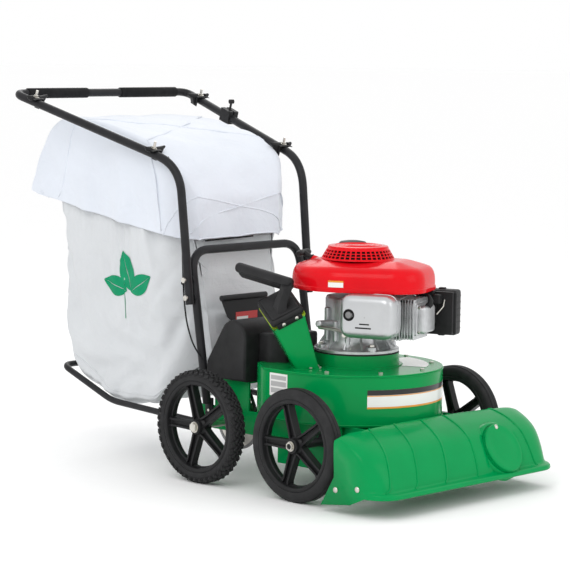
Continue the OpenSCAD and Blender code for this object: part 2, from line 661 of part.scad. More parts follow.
module lower_handle() from_axle() color(black) difference() {
    union() {
        sweep(rounded(loop_of(hoop), 70), tube_r, 20);
        both_sides() translate([rail_x + rail_t, 78, 145]) cube([8, 30, 80]);
    }
    both_sides() for (p = [[92, 160], [92, 188]])
        translate([leg_x, p[0], p[1]]) along_x(60) cylinder(r = 4.2, h = 60);
    joint_holes();
}
joint_z = [520, 572];
module joint_holes() both_sides() for (z = joint_z)
    translate([leg_x + 13, leg_y(z), z]) along_x(80) cylinder(r = 4.2, h = 80);
function leg_y(z) = 92 + (z - 208) * (166 - 92) / (656 - 208);
module upper_handle() from_axle() color(black) difference() {
    sweep(rounded(loop_of(upright), [0, 84, 40, 40, 84, 0], 8), tube_r, 20);
    joint_holes();
}
grip_in = 70;
grip_out = 316;
module handle_grips() from_axle() color("#1b1b1d") both_sides() difference() {
    translate([(grip_in + grip_out) / 2, handle_back, handle_h])
        along_x(grip_out - grip_in) cylinder(r = 16, h = grip_out - grip_in);
    translate([(grip_in + grip_out) / 2, handle_back, handle_h]) along_x(300)
        cylinder(r = tube_r, h = 300);
}

function on_rail(y) = let (a = upright[1], b = upright[2], k = (y - a[1]) / (b[1] - a[1])) a + (b - a) * k;
hanger_at = [285, 735];
rail_run = upright[2] - upright[1];
rail_splay = atan2(rail_run[0], rail_run[1]);
rail_climb = asin(rail_run[2] / norm(rail_run));
module rail_place(y) translate(on_rail(y)) rotate([rail_climb, 0, -rail_splay]) children();
module on_tube(y) both_sides() rail_place(y) children();
module bag_hangers() from_axle() color(black) for (y = hanger_at) on_tube(y) {
    translate([0, 0, tube_r + 2]) difference() {
        translate([-24, -18, -2]) cube([48, 36, 3]);
        translate([0, 0, -5]) cylinder(r = 4.2, h = 10);
    }
    translate([-24, -18, tube_r - 30]) cube([3, 36, 33]);
}
module frame_bolts() from_axle() color(zinc) {
    // hanger studs with their nuts
    for (y = hanger_at) on_tube(y) {
        translate([0, 0, tube_r + 3]) cylinder(r = 7, h = 5, $fn = 6);
        translate([0, 0, tube_r + 7]) cylinder(r = 4, h = 18);
    }
    // handle joint bolts
    both_sides() for (z = joint_z) translate([leg_x + 13, leg_y(z), z]) {
        translate([2, 0, 0]) along_x(52) cylinder(r = 4, h = 52);
        translate([29.8, 0, 0]) along_x(5) cylinder(r = 8, h = 5);
    }
    // engine bolts, housing rim bolts
    translate([0, crank_y, 0]) engine_bolt_places() {
        translate([0, 0, collar_z - 4]) cylinder(r = 4, h = 31);
        translate([0, 0, gasket_z + 22]) cylinder(r = 7.5, h = 6, $fn = 6);
    }
    for (a = rim_bolts) translate([rim_bolt_r * cos(a), crank_y + rim_bolt_r * sin(a), 0]) {
        translate([0, 0, 341]) cylinder(r = 3, h = 10);
        translate([0, 0, top_z]) cylinder(r = 6.5, h = 4.5);
    }
    // bolts through the rails
    both_sides() for (p = [[-400, 150], [-360, 190], [92, 160], [92, 188]])
        translate([rail_x + rail_t, p[0], p[1]]) {
            along_x(20) cylinder(r = 4, h = 20);
        }
}
module throttle_housing() from_axle() color(black) rail_place(575) {
    difference() {
        translate([-17, -24, -17]) cube([36, 48, 42]);
        translate([0, 60, 0]) rotate([90, 0, 0]) cylinder(r = tube_r, h = 120);
        translate([-2, -30, 14]) cube([6, 60, 20]);
        translate([1, 0, 18]) along_x(60) cylinder(r = 3 + slip, h = 60);
    }
}
module throttle_lever() from_axle() color(black) rail_place(575) translate([1, 0, 18]) {
        along_x(36) cylinder(r = 3, h = 36);
        translate([-1.5, -4, 0]) cube([3, 8, 34]);
        translate([0, 0, 34]) along_x(14) cylinder(r = 7, h = 14);
    }
module control_cables() from_axle() color(black) {
    sweep(rounded([[-252, 246, 930], [-250, 196, 850], [-248, 176, 520], [-252, 140, 400],
        [-246, 96, 340]], 20, 3), 2.5, 8);
}

main_frame();
axle_bearings();
front_axle_brackets();
front_axle_nuts();
housing();
housing_top();
engine_collar();
flange_gasket();
crankcase();
cylinder_head();
muffler();
muffler_guard();
carburetor();
air_cleaner_cover();
engine_shroud();
recoil_cover();
fuel_tank();
nozzle();
nozzle_bolts();
hose_port();
chipper_chute();
chute_trim();
discharge_duct();
bag_mouth_plate();
drive_guard();
gearbox();
drive_belt();
drive_chain();
lower_handle();
upper_handle();
frame_bolts();
handle_grips();
bag_hangers();
bag_support();
bag();
bag_cover();
throttle_housing();
control_cables();
rear_axle();
axle_sprocket();
rear_rim_left();
rear_rim_right();
rear_tyre_left();
rear_tyre_right();
rear_axle_nuts();
front_rim_left();
front_tyre_left();
front_rim_right();
front_tyre_right();
crankshaft();
impeller();
flywheel();
engine_pulley();
gearbox_pulley();
output_sprocket();
port_cover();
chipper_plug();
fuel_cap();
starter_grip();
throttle_lever();
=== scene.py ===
"""Looks of a walk-behind leaf vacuum mulcher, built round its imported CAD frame."""
import math

import bmesh
import bpy
from mathutils import Matrix, Vector, noise
from mathutils.bvhtree import BVHTree


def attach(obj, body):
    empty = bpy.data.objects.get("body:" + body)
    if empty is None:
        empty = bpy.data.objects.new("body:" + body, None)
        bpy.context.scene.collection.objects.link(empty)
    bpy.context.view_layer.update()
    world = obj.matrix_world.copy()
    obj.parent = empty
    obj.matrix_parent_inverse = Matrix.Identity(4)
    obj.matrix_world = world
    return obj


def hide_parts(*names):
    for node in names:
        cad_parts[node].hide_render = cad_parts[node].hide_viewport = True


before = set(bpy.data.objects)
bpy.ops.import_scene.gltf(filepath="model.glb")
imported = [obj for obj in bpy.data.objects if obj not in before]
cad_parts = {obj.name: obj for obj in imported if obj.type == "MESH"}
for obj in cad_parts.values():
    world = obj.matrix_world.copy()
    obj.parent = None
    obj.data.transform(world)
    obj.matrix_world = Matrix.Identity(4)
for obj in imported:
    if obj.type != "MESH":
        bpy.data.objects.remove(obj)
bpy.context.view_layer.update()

MM = 0.001
AXLE_Y = -60.0  # the rear axle in the row frame, in mm like every size below
ROW = Matrix.Translation((0, AXLE_Y, 0))
CRANK_Y = AXLE_Y - 290
CRANK = Vector((0, CRANK_Y, 0))
ENGINE_TURN = 20
WHEEL_X = 345
TYRE_W = 46
REAR_R = 165
FRONT_R = 160
BEAD = 0.8  # where a tyre meets its rim, as a share of the tyre's radius
FRONT_Y = AXLE_Y - 384
TUBE_R = 12.7
HANDLE_Y = AXLE_Y + 815
HANDLE_Z = 1103
HOOD_W = 770
LIP_CORNER = 70
HOUSING_Z = 203
HOUSING_TOP = 345
PLATE_TOP = 349
FUEL_CAP = (112, 62)  # from the crank, in the engine's own frame
RAIL = ((262, 186, 908), (366, 815, 1103))  # a handle's rail, low end and high end
DUCT = (-67, 334, 47, 432)  # the bag's mouth on X and Z


# ---- Camera and studio --------------------------------------------------

CAMERA_AT = (-4.958, -4.786, 1.287)
CAMERA_TURN = (-46.372, 6.121, 0.811)  # azimuth, elevation and roll in degrees
CAMERA_LENS = 145.88


def camera():
    """Views the machine from its right front, a little above the engine."""
    azimuth, elevation, roll = map(math.radians, CAMERA_TURN)
    back = Vector((
        math.sin(azimuth) * math.cos(elevation),
        -math.cos(azimuth) * math.cos(elevation),
        math.sin(elevation)))
    right = Vector((0, 0, 1)).cross(back).normalized()
    up = back.cross(right)
    side = right * math.cos(roll) + up * math.sin(roll)
    top = up * math.cos(roll) - right * math.sin(roll)
    data = bpy.data.cameras.new("camera")
    data.sensor_width = 36
    data.lens = CAMERA_LENS
    data.clip_end = 100
    obj = bpy.data.objects.new("camera", data)
    turn = Matrix((side, top, back)).transposed().to_4x4()
    obj.matrix_world = Matrix.Translation(CAMERA_AT) @ turn
    bpy.context.collection.objects.link(obj)
    bpy.context.scene.camera = obj


def studio():
    """Pale floor, three soft lamps and an even white world."""
    bpy.context.scene.view_settings.view_transform = "Standard"
    world = bpy.data.worlds.new("studio")
    bpy.context.scene.world = world
    world.use_nodes = True
    world.node_tree.nodes["Background"].inputs[0].default_value = (1, 1, 1, 1)
    world.node_tree.nodes["Background"].inputs[1].default_value = 1.0
    bpy.ops.mesh.primitive_plane_add(size=400, location=(0, 0, 0))
    floor = bpy.context.object
    floor.name = "floor"
    floor.data.materials.append(material("floor", (0.995, 0.995, 0.995), 0.9, tint=0.005))
    for name, place, size, power in (
            ("key", (-3.4, -1.6, 3.4), 2.2, 40),
            ("fill", (1.2, -4.4, 2.2), 2.4, 20),
            ("rim", (2.6, 3.2, 3.4), 2.4, 30)):
        light = bpy.data.lights.new(name, "AREA")
        light.size = size
        light.energy = power
        lamp = bpy.data.objects.new(name, light)
        lamp.location = place
        aim = Vector((0, 0, 0.5)) - Vector(place)
        lamp.rotation_euler = aim.to_track_quat("-Z", "Y").to_euler()
        bpy.context.collection.objects.link(lamp)


# ---- Materials ----------------------------------------------------------

def material(name, colour, rough, metal=0.0, tint=0.08, scale=30, bump=0.0, grain=400,
             coat=0.0, sheen=0.0, gloss=0.2):
    """A surface whose colour and roughness drift with noise, with a fine grain in its bump."""
    paint = bpy.data.materials.new(name)
    paint.use_nodes = True
    tree = paint.node_tree
    node, link = tree.nodes.new, tree.links.new
    shader = tree.nodes["Principled BSDF"]
    shader.inputs["Metallic"].default_value = metal
    shader.inputs["Coat Weight"].default_value = coat
    shader.inputs["Coat Roughness"].default_value = 0.08
    shader.inputs["Specular IOR Level"].default_value = 0.5 if metal else gloss
    shader.inputs["Sheen Weight"].default_value = sheen
    place = node("ShaderNodeTexCoord")
    drift = node("ShaderNodeTexNoise")
    drift.inputs["Scale"].default_value = scale
    drift.inputs["Detail"].default_value = 5
    link(place.outputs["Object"], drift.inputs["Vector"])
    ramp = node("ShaderNodeValToRGB")
    ramp.color_ramp.elements[0].position = 0.3
    ramp.color_ramp.elements[1].position = 0.7
    ramp.color_ramp.elements[0].color = [c * (1 - tint) for c in colour] + [1]
    ramp.color_ramp.elements[1].color = [min(1, c * (1 + tint)) for c in colour] + [1]
    link(drift.outputs["Fac"], ramp.inputs["Fac"])
    link(ramp.outputs["Color"], shader.inputs["Base Color"])
    span = node("ShaderNodeMapRange")
    span.inputs["To Min"].default_value = max(0.02, rough - 0.05)
    span.inputs["To Max"].default_value = min(1, rough + 0.05)
    link(drift.outputs["Fac"], span.inputs["Value"])
    link(span.outputs["Result"], shader.inputs["Roughness"])
    if bump:
        fine = node("ShaderNodeTexNoise")
        fine.inputs["Scale"].default_value = grain
        fine.inputs["Detail"].default_value = 3
        link(place.outputs["Object"], fine.inputs["Vector"])
        relief = node("ShaderNodeBump")
        relief.inputs["Strength"].default_value = bump
        relief.inputs["Distance"].default_value = 0.0006
        link(fine.outputs["Fac"], relief.inputs["Height"])
        link(relief.outputs["Normal"], shader.inputs["Normal"])
    return paint


def cloth_material(name, colour, rough, pitch, strength, sheen=0.3):
    """Woven cloth: crossing yarn waves in the bump, soft creases and a slight mottle."""
    paint = material(name, colour, rough, tint=0.03, scale=7, sheen=sheen)
    tree = paint.node_tree
    node, link = tree.nodes.new, tree.links.new
    place = tree.nodes["Texture Coordinate"]
    yarn = None
    for axis in ("X", "Y", "Z"):
        wave = node("ShaderNodeTexWave")
        wave.bands_direction = axis
        wave.inputs["Scale"].default_value = 1 / pitch / math.pi
        wave.inputs["Distortion"].default_value = 0.4
        link(place.outputs["Object"], wave.inputs["Vector"])
        if yarn is None:
            yarn = wave.outputs["Fac"]
        else:
            both = node("ShaderNodeMath")
            both.operation = "ADD"
            link(yarn, both.inputs[0])
            link(wave.outputs["Fac"], both.inputs[1])
            yarn = both.outputs["Value"]
    weave = node("ShaderNodeBump")
    weave.inputs["Strength"].default_value = strength
    weave.inputs["Distance"].default_value = 0.0004
    link(yarn, weave.inputs["Height"])
    crease = node("ShaderNodeTexNoise")
    crease.inputs["Scale"].default_value = 12
    crease.inputs["Detail"].default_value = 4
    crease.inputs["Distortion"].default_value = 0.6
    link(place.outputs["Object"], crease.inputs["Vector"])
    fold = node("ShaderNodeBump")
    fold.inputs["Strength"].default_value = 0.55
    fold.inputs["Distance"].default_value = 0.012
    link(crease.outputs["Fac"], fold.inputs["Height"])
    link(weave.outputs["Normal"], fold.inputs["Normal"])
    link(fold.outputs["Normal"], tree.nodes["Principled BSDF"].inputs["Normal"])
    return paint


GREEN = material("green_paint", (0.0, 0.275, 0.066), 0.2, tint=0.04, scale=14, coat=0.05,
                 gloss=0.1, bump=0.06, grain=180)
HOOD_GREEN = material("green_plastic", (0.0, 0.285, 0.075), 0.24, tint=0.04, scale=12, coat=0.04,
                      gloss=0.09, bump=0.08, grain=260)
BLACK = material("black_paint", (0.018, 0.018, 0.02), 0.38, tint=0.2, scale=25, bump=0.12,
                 grain=500)
PLASTIC = material("black_plastic", (0.017, 0.017, 0.018), 0.48, tint=0.25, scale=30, bump=0.35,
                   grain=900)
FOAM = material("foam_grip", (0.012, 0.012, 0.013), 0.8, tint=0.3, scale=60, bump=0.6, grain=700)
RUBBER = material("tyre_rubber", (0.022, 0.022, 0.023), 0.62, tint=0.25, scale=35, bump=0.4,
                  grain=500)
RIM = material("rim_plastic", (0.014, 0.014, 0.015), 0.4, tint=0.25, scale=30, bump=0.3, grain=700)
ZINC = material("zinc_plate", (0.62, 0.6, 0.55), 0.3, metal=1, tint=0.12, scale=60, bump=0.1,
                grain=300)
CAST = material("cast_alloy", (0.56, 0.57, 0.58), 0.42, metal=0.85, tint=0.12, scale=45,
                bump=0.5, grain=350)
SILVER = material("silver_guard", (0.55, 0.56, 0.57), 0.36, metal=0.9, tint=0.05, scale=14,
                  bump=0.15, grain=240)
STEEL = material("oiled_steel", (0.25, 0.25, 0.25), 0.4, metal=1, tint=0.2, scale=50, bump=0.2,
                 grain=250)
RED = material("red_plastic", (0.7, 0.004, 0.01), 0.18, tint=0.05, scale=12, coat=0.08,
               gloss=0.1, bump=0.04, grain=200)
# near-black painted shade for holes, slots and the space behind the grille bars
PAINTED_SHADE = material("painted_shade_recess", (0.006, 0.006, 0.006), 0.7, tint=0.3, scale=30)
TRIM = material("yellow_trim", (0.42, 0.55, 0.03), 0.45, tint=0.12, scale=60, bump=0.2)
WHITE = material("label_white", (0.82, 0.82, 0.8), 0.3, tint=0.02, scale=20, coat=0.3)
ORANGE = material("label_orange", (0.75, 0.3, 0.03), 0.3, tint=0.04, scale=20, coat=0.3)
PALE = material("label_grey", (0.45, 0.45, 0.45), 0.35, tint=0.04, scale=30)
LABEL_RED = material("label_red", (0.62, 0.05, 0.05), 0.35, tint=0.05, scale=30, coat=0.2)
LABEL_BLACK = material("label_black", (0.02, 0.02, 0.02), 0.3, tint=0.1, scale=30, coat=0.3)
CANVAS = cloth_material("bag_canvas", (0.66, 0.68, 0.7), 0.85, 0.0016, 0.5)
NYLON = cloth_material("cover_nylon", (0.72, 0.76, 0.83), 0.6, 0.001, 0.25, sheen=0.5)
PRINT = material("green_print", (0.0, 0.27, 0.12), 0.6, tint=0.08, scale=40, bump=0.3, grain=700)

CAD_LOOKS = {
    GREEN: ["main_frame", "engine_collar"],
    HOOD_GREEN: ["hose_port"],
    BLACK: ["front_axle_brackets", "discharge_duct", "bag_hangers"],
    PLASTIC: ["carburetor", "fuel_tank", "throttle_housing", "throttle_lever"],
    RUBBER: ["flange_gasket", "drive_belt"],
    CAST: ["gearbox", "engine_pulley", "gearbox_pulley", "flywheel"],
    ZINC: ["axle_bearings", "front_axle_nuts", "rear_axle_nuts", "nozzle_bolts", "frame_bolts",
           "rear_axle", "axle_sprocket", "output_sprocket", "crankshaft"],
    STEEL: ["impeller", "muffler", "drive_chain"],
    TRIM: ["chute_trim"],
}


def paint_cad():
    for paint, nodes in CAD_LOOKS.items():
        for name in nodes:
            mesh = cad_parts[name].data
            mesh.materials.clear()
            mesh.materials.append(paint)


# ---- Mesh making --------------------------------------------------------

class Shape:
    """Collects parts in millimetres, each with its own material, and makes one object of them."""

    def __init__(self, place=None):
        self.verts, self.faces, self.looks, self.paints = [], [], [], []
        self.place = place or Matrix.Identity(4)
        self.look = 0

    def paint(self, paint):
        if paint not in self.paints:
            self.paints.append(paint)
        self.look = self.paints.index(paint)
        return self

    def add(self, verts, faces, place=None):
        turn = self.place @ (place or Matrix.Identity(4))
        base = len(self.verts)
        self.verts += [turn @ Vector(v) for v in verts]
        self.faces += [[base + i for i in f] for f in faces]
        self.looks += [self.look] * len(faces)
        return self

    def rows(self, rows, closed=True, caps=True, place=None, loop=False):
        """Joins rows of points: closed joins each row's ends, loop joins last row to first."""
        n, m = len(rows[0]), len(rows)
        faces = []
        for i in range(m if loop else m - 1):
            for k in range(n if closed else n - 1):
                a, b = i * n + k, i * n + (k + 1) % n
                c, d = (i + 1) % m * n + (k + 1) % n, (i + 1) % m * n + k
                faces.append([a, b, c, d])
        if caps and closed and not loop:
            faces.append(list(range(n))[::-1])
            faces.append([(m - 1) * n + k for k in range(n)])
        return self.add([p for row in rows for p in row], faces, place)

    def stack(self, layers, axis=2, caps=True):
        """Joins outlines, each given with its place along an axis across which it lies."""
        return self.rows([[(*p[:axis], at, *p[axis:]) for p in line] for line, at in layers],
                         caps=caps)

    def lathe(self, profile, n=48, place=None):
        """Turns (radius, height) points round Z."""
        rows = [[polar(r, 360 * k / n, h) for k in range(n)] for r, h in profile]
        return self.rows(rows, place=place)

    def ring(self, profile, n=96, place=None):
        """Turns a closed (radius, height) outline round Z."""
        rows = [[polar(r, 360 * k / n, h) for r, h in profile] for k in range(n)]
        return self.rows(rows, caps=False, place=place, loop=True)

    def slab(self, low, high, r, n=4, place=None):
        """A box with all its edges and corners rounded by r."""
        return self.rows(block(low, high, r, n), place=place)

    def patch(self, *corners):
        """One flat face."""
        return self.add(corners, [list(range(len(corners)))])

    def rod(self, radius, low, high, n=32, place=None, edge=0.0):
        e = edge or min(radius, high - low) * 0.12
        return self.lathe([(radius - e, low), (radius, low + e), (radius, high - e),
                           (radius - e, high)], n, place)

    def box(self, low, high, place=None, edge=1.5):
        """A box with chamfered edges."""
        low, high = Vector(low), Vector(high)
        mid, half = (low + high) / 2, (high - low) / 2
        e = min(edge, *(0.45 * h for h in half))
        rows = []
        for z, x, y in ((-half.z, half.x - e, half.y - e), (-half.z + e, half.x, half.y),
                        (half.z - e, half.x, half.y), (half.z, half.x - e, half.y - e)):
            c = e if abs(abs(z) - half.z) > 1e-6 else e * 0.5
            rows.append([(mid.x + px, mid.y + py, mid.z + z) for px, py in (
                (-x + c, -y), (x - c, -y), (x, -y + c), (x, y - c),
                (x - c, y), (-x + c, y), (-x, y - c), (-x, -y + c))])
        return self.rows(rows, place=place)

    def tube(self, path, radius, n=16):
        """Carries a circle along a path; radius may be one value or one per point."""
        path = [Vector(p) for p in path]
        size = radius if isinstance(radius, (list, tuple)) else [radius] * len(path)
        side = Vector((0.31, 0.52, 0.8))
        rows = []
        for i, p in enumerate(path):
            ahead = (path[min(i + 1, len(path) - 1)] - path[max(i - 1, 0)]).normalized()
            side = (side - side.dot(ahead) * ahead).normalized()
            other = ahead.cross(side)
            turns = [polar(size[i], 360 * k / n) for k in range(n)]
            rows.append([p + t.x * side + t.y * other for t in turns])
        return self.rows(rows)

    def make(self, name, body="chassis", replaces=(), slot=None, sharp=32, bevel=0.0):
        mesh = bpy.data.meshes.new(name)
        mesh.from_pydata([v * MM for v in self.verts], [], self.faces)
        for paint in self.paints:
            mesh.materials.append(paint)
        mesh.polygons.foreach_set("material_index", self.looks)
        obj = bpy.data.objects.new(name, mesh)
        bpy.context.collection.objects.link(obj)
        mesh.update()
        tidy_normals(mesh)
        mesh.shade_smooth()
        mesh.set_sharp_from_angle(angle=math.radians(sharp))
        if bevel:
            rounding = obj.modifiers.new("rounding", "BEVEL")
            rounding.width = bevel * MM
            rounding.segments = 3
            rounding.limit_method = "ANGLE"
            rounding.angle_limit = math.radians(30)
        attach(obj, body)
        if replaces:
            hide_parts(*replaces)
        return obj


def block(low, high, r, n=4):
    """Rows of a box whose edges and corners are rounded by r, stacked along Z."""
    (x0, y0, z0), (x1, y1, z1) = low, high
    curve = [(r * math.sin(a), r * math.cos(a)) for a in (math.pi / 2 * k / n for k in range(n + 1))]
    corners = ((x1 - r, y1 - r, 0), (x0 + r, y1 - r, 90), (x0 + r, y0 + r, 180),
               (x1 - r, y0 + r, 270))
    return [[polar(max(q, 0.05), a0 + 90 * k / n, z) + Vector((cx, cy, 0))
             for cx, cy, a0 in corners for k in range(n + 1)]
            for q, z in [(s, z0 + r - c) for s, c in curve] + [(c, z1 - r + s) for s, c in curve]]


def tidy_normals(mesh):
    work = bmesh.new()
    work.from_mesh(mesh)
    bmesh.ops.remove_doubles(work, verts=work.verts, dist=1e-6)
    bmesh.ops.recalc_face_normals(work, faces=work.faces)
    work.to_mesh(mesh)
    work.free()


def inset(outline, t):
    """Moves each side of an outline inwards by t."""
    pts = [Vector(p) for p in outline]
    n = len(pts)
    area = sum(pts[i].x * pts[(i + 1) % n].y - pts[(i + 1) % n].x * pts[i].y for i in range(n))
    turn = 1 if area > 0 else -1
    out = []
    for i in range(n):
        u = (pts[i] - pts[i - 1]).normalized()
        v = (pts[(i + 1) % n] - pts[i]).normalized()
        move = Vector((-u.y - v.y, u.x + v.x)) * turn * t / max(0.3, 1 + u.dot(v))
        out.append(pts[i] + move)
    return out


def rect(x0, y0, x1, y1):
    return [(x0, y0), (x1, y0), (x1, y1), (x0, y1)]


def rounded(outline, radius, n=5):
    """Rounds the corners of a closed outline of 2-D or 3-D points."""
    pts = [Vector(p) for p in outline]
    return [p for i in range(len(pts))
            for p in corner(pts[i - 1], pts[i], pts[(i + 1) % len(pts)], radius, n)]


def corner(a, b, c, t, n):
    t = min(t, 0.49 * (a - b).length, 0.49 * (c - b).length)
    p, q = b + (a - b).normalized() * t, b + (c - b).normalized() * t
    steps = [k / n for k in range(n + 1)]
    return [(1 - s) ** 2 * p + 2 * s * (1 - s) * b + s * s * q for s in steps]


def route(points, bends, n=10):
    """An open path whose inner corners are rounded, each by its own distance."""
    pts = [Vector(p) for p in points]
    out = [pts[0]]
    for i in range(1, len(pts) - 1):
        out += corner(pts[i - 1], pts[i], pts[i + 1], bends[i - 1], n)
    return out + [pts[-1]]


def turned(at, x=0, y=0, z=0):
    """A place reached by turning about X, then Y, then Z, in degrees."""
    turn = (Matrix.Rotation(math.radians(z), 4, "Z") @ Matrix.Rotation(math.radians(y), 4, "Y")
            @ Matrix.Rotation(math.radians(x), 4, "X"))
    return Matrix.Translation(at) @ turn


def polar(radius, degrees, z=0.0):
    """A point at a radius and an angle round Z."""
    a = math.radians(degrees)
    return Vector((radius * math.cos(a), radius * math.sin(a), z))


def both_ways(half):
    return half + [(-x, y, z) for x, y, z in half[::-1]]


# ---- Wheels -------------------------------------------------------------

def rim(name, body, x, y, r, node):
    shape = Shape(turned((x, y, r), y=90)).paint(RIM)
    edge, w = r * BEAD, TYRE_W / 2
    half = [(edge + 1, w - 5), (edge + 2, w - 3), (edge - 2, w - 1), (edge - 9, w - 2),
            (edge - 11, w - 6), (edge - 12, 4), (edge - 16, 3)]
    shape.ring(rounded([(a, -b) for a, b in half] + half[::-1], 2, 2))
    for s in (-1, 1):
        shape.ring([(9.5, s * 2), (20, s * 2), (21.5, s * 22), (20.5, s * 24.5), (12, s * 24.5),
                    (9.5, s * 22)], 40)
        shape.ring([(20, s * 1), (27, s * 2), (28, s * 5), (21, s * 12)], 40)
    for k in range(5):
        turn = Matrix.Rotation(math.radians(72 * k + 90), 4, "Z")
        for s in (-1, 1):
            spoke = ((19, 12.5, 3), (46, 10.5, 3), (edge - 22, 9, 3), (edge - 10, 12, 4))
            shape.rows([[(reach, s * at - thick, -12), (reach, s * at - thick, 12),
                         (reach, s * at + thick, 12), (reach, s * at + thick, -12)]
                        for reach, at, thick in spoke], place=turn)
        shape.box((18, -12, -3), (edge - 12, 12, 3), place=turn)
    return shape.make(name, body, [node], "wheel_black", bevel=0.9)


def tyre(name, body, x, y, r, node, lugs):
    shape = Shape(turned((x, y, r), y=90)).paint(RUBBER)
    w, crown = TYRE_W / 2, r - (5 if lugs else 1)
    edge = r * BEAD
    half = [(edge, -w + 5), (edge + 3, -w + 1.5), (edge + 8, -w + 0.5), (crown - 16, -w),
            (crown - 9, -w + 1.5), (crown - 4, -w + 5), (crown - 1, -w + 10), (crown, -w + 15)]
    if not lugs:
        half += [(crown + 0.8, -12), (crown - 0.4, -11.4), (crown - 0.4, -10.4), (crown + 0.9, -9.8),
                 (crown + 1, -1), (crown - 0.2, -0.5)]
    shape.ring(half + [(a, -b) for a, b in half[::-1]], 120)
    if lugs:
        count = 46
        for k in range(count):
            for row, (offset, lean, size) in enumerate((
                    (-19.5, 24, (7, 5.5)), (-11, -34, (8, 3.6)), (-3.6, 32, (7.5, 3.2)),
                    (3.6, -32, (7.5, 3.2)), (11, 34, (8, 3.6)), (19.5, -24, (7, 5.5)))):
                angle = 360 * (k + 0.5 * (row % 2)) / count
                drop = 5.2 if abs(offset) > 18 else 0
                tilt = 34 * (1 if offset > 0 else -1) if abs(offset) > 18 else 0
                place = (Matrix.Rotation(math.radians(angle), 4, "Z")
                         @ Matrix.Translation((crown - drop, 0, offset))
                         @ Matrix.Rotation(math.radians(-tilt), 4, "Y")
                         @ Matrix.Rotation(math.radians(lean), 4, "X"))
                shape.box((-3, -size[0], -size[1]), (4.6, size[0], size[1]), place, edge=1)
    return shape.make(name, body, [node], "tyre_rubber")


def wheels():
    for side, sign in (("left", 1), ("right", -1)):
        for end, body, y, r in (("rear", "rear_axle_assembly", AXLE_Y, REAR_R),
                                ("front", f"front_{side}_wheel", FRONT_Y, FRONT_R)):
            rim(f"{end}_wheel_rim_{side}", body, sign * WHEEL_X, y, r, f"{end}_rim_{side}")
            tyre(f"{end}_wheel_tyre_{side}", body, sign * WHEEL_X, y, r, f"{end}_tyre_{side}",
                 end == "rear")


# ---- Nozzle and housing -------------------------------------------------

def smooth_line(points, n=5):
    """A smooth line through points, n steps between each pair."""
    pts = [Vector(p) for p in points]
    out = []
    for i in range(len(pts) - 1):
        a, b, c, d = (pts[max(i - 1, 0)], pts[i], pts[i + 1], pts[min(i + 2, len(pts) - 1)])
        for k in range(n):
            t = k / n
            out.append(0.5 * (2 * b + (c - a) * t + (2 * a - 5 * b + 4 * c - d) * t * t
                              + (3 * b - a - 3 * c + d) * t ** 3))
    return out + [pts[-1]]


def hood_line(x):
    """The hood's outer line at x, from the lip's underside to its back, in (x, y, z)."""
    half = HOOD_W / 2
    s = 1 - 0.7 * (x / half) ** 2
    over = max(0, abs(x) - half + LIP_CORNER)
    b = LIP_CORNER - math.sqrt(max(0, LIP_CORNER ** 2 - over ** 2))
    drop = 7 * (over / LIP_CORNER) ** 3
    line = [(-742 + b, 55), (-746 + b, 58), (-746 + b, 66), (-741 + b, 70), (-733 + b, 72),
            (-725 + 0.95 * b, 76), (-719 - 3 * s + 0.9 * b, 84 + 3 * s),
            (-697 - 10 * s + 0.62 * b, 122 + 8 * s - drop * 0.3),
            (-668 - 14 * s + 0.4 * b, 160 + 13 * s - drop * 0.6),
            (-633 - 11 * s + 0.22 * b, 188 + 12 * s - drop),
            (-600 - 6 * s + 0.1 * b, 204 + 12 * s - drop),
            (-577, 211 + 13 * s - drop), (-566, 208 + 13 * s - drop), (-558, 194 + 10 * s - drop),
            (-560, 110)]
    return smooth_line([(x, y + AXLE_Y, z) for y, z in line], 4)


PORT = turned((165, AXLE_Y - 702, 132), x=60)
PORT_R = 72


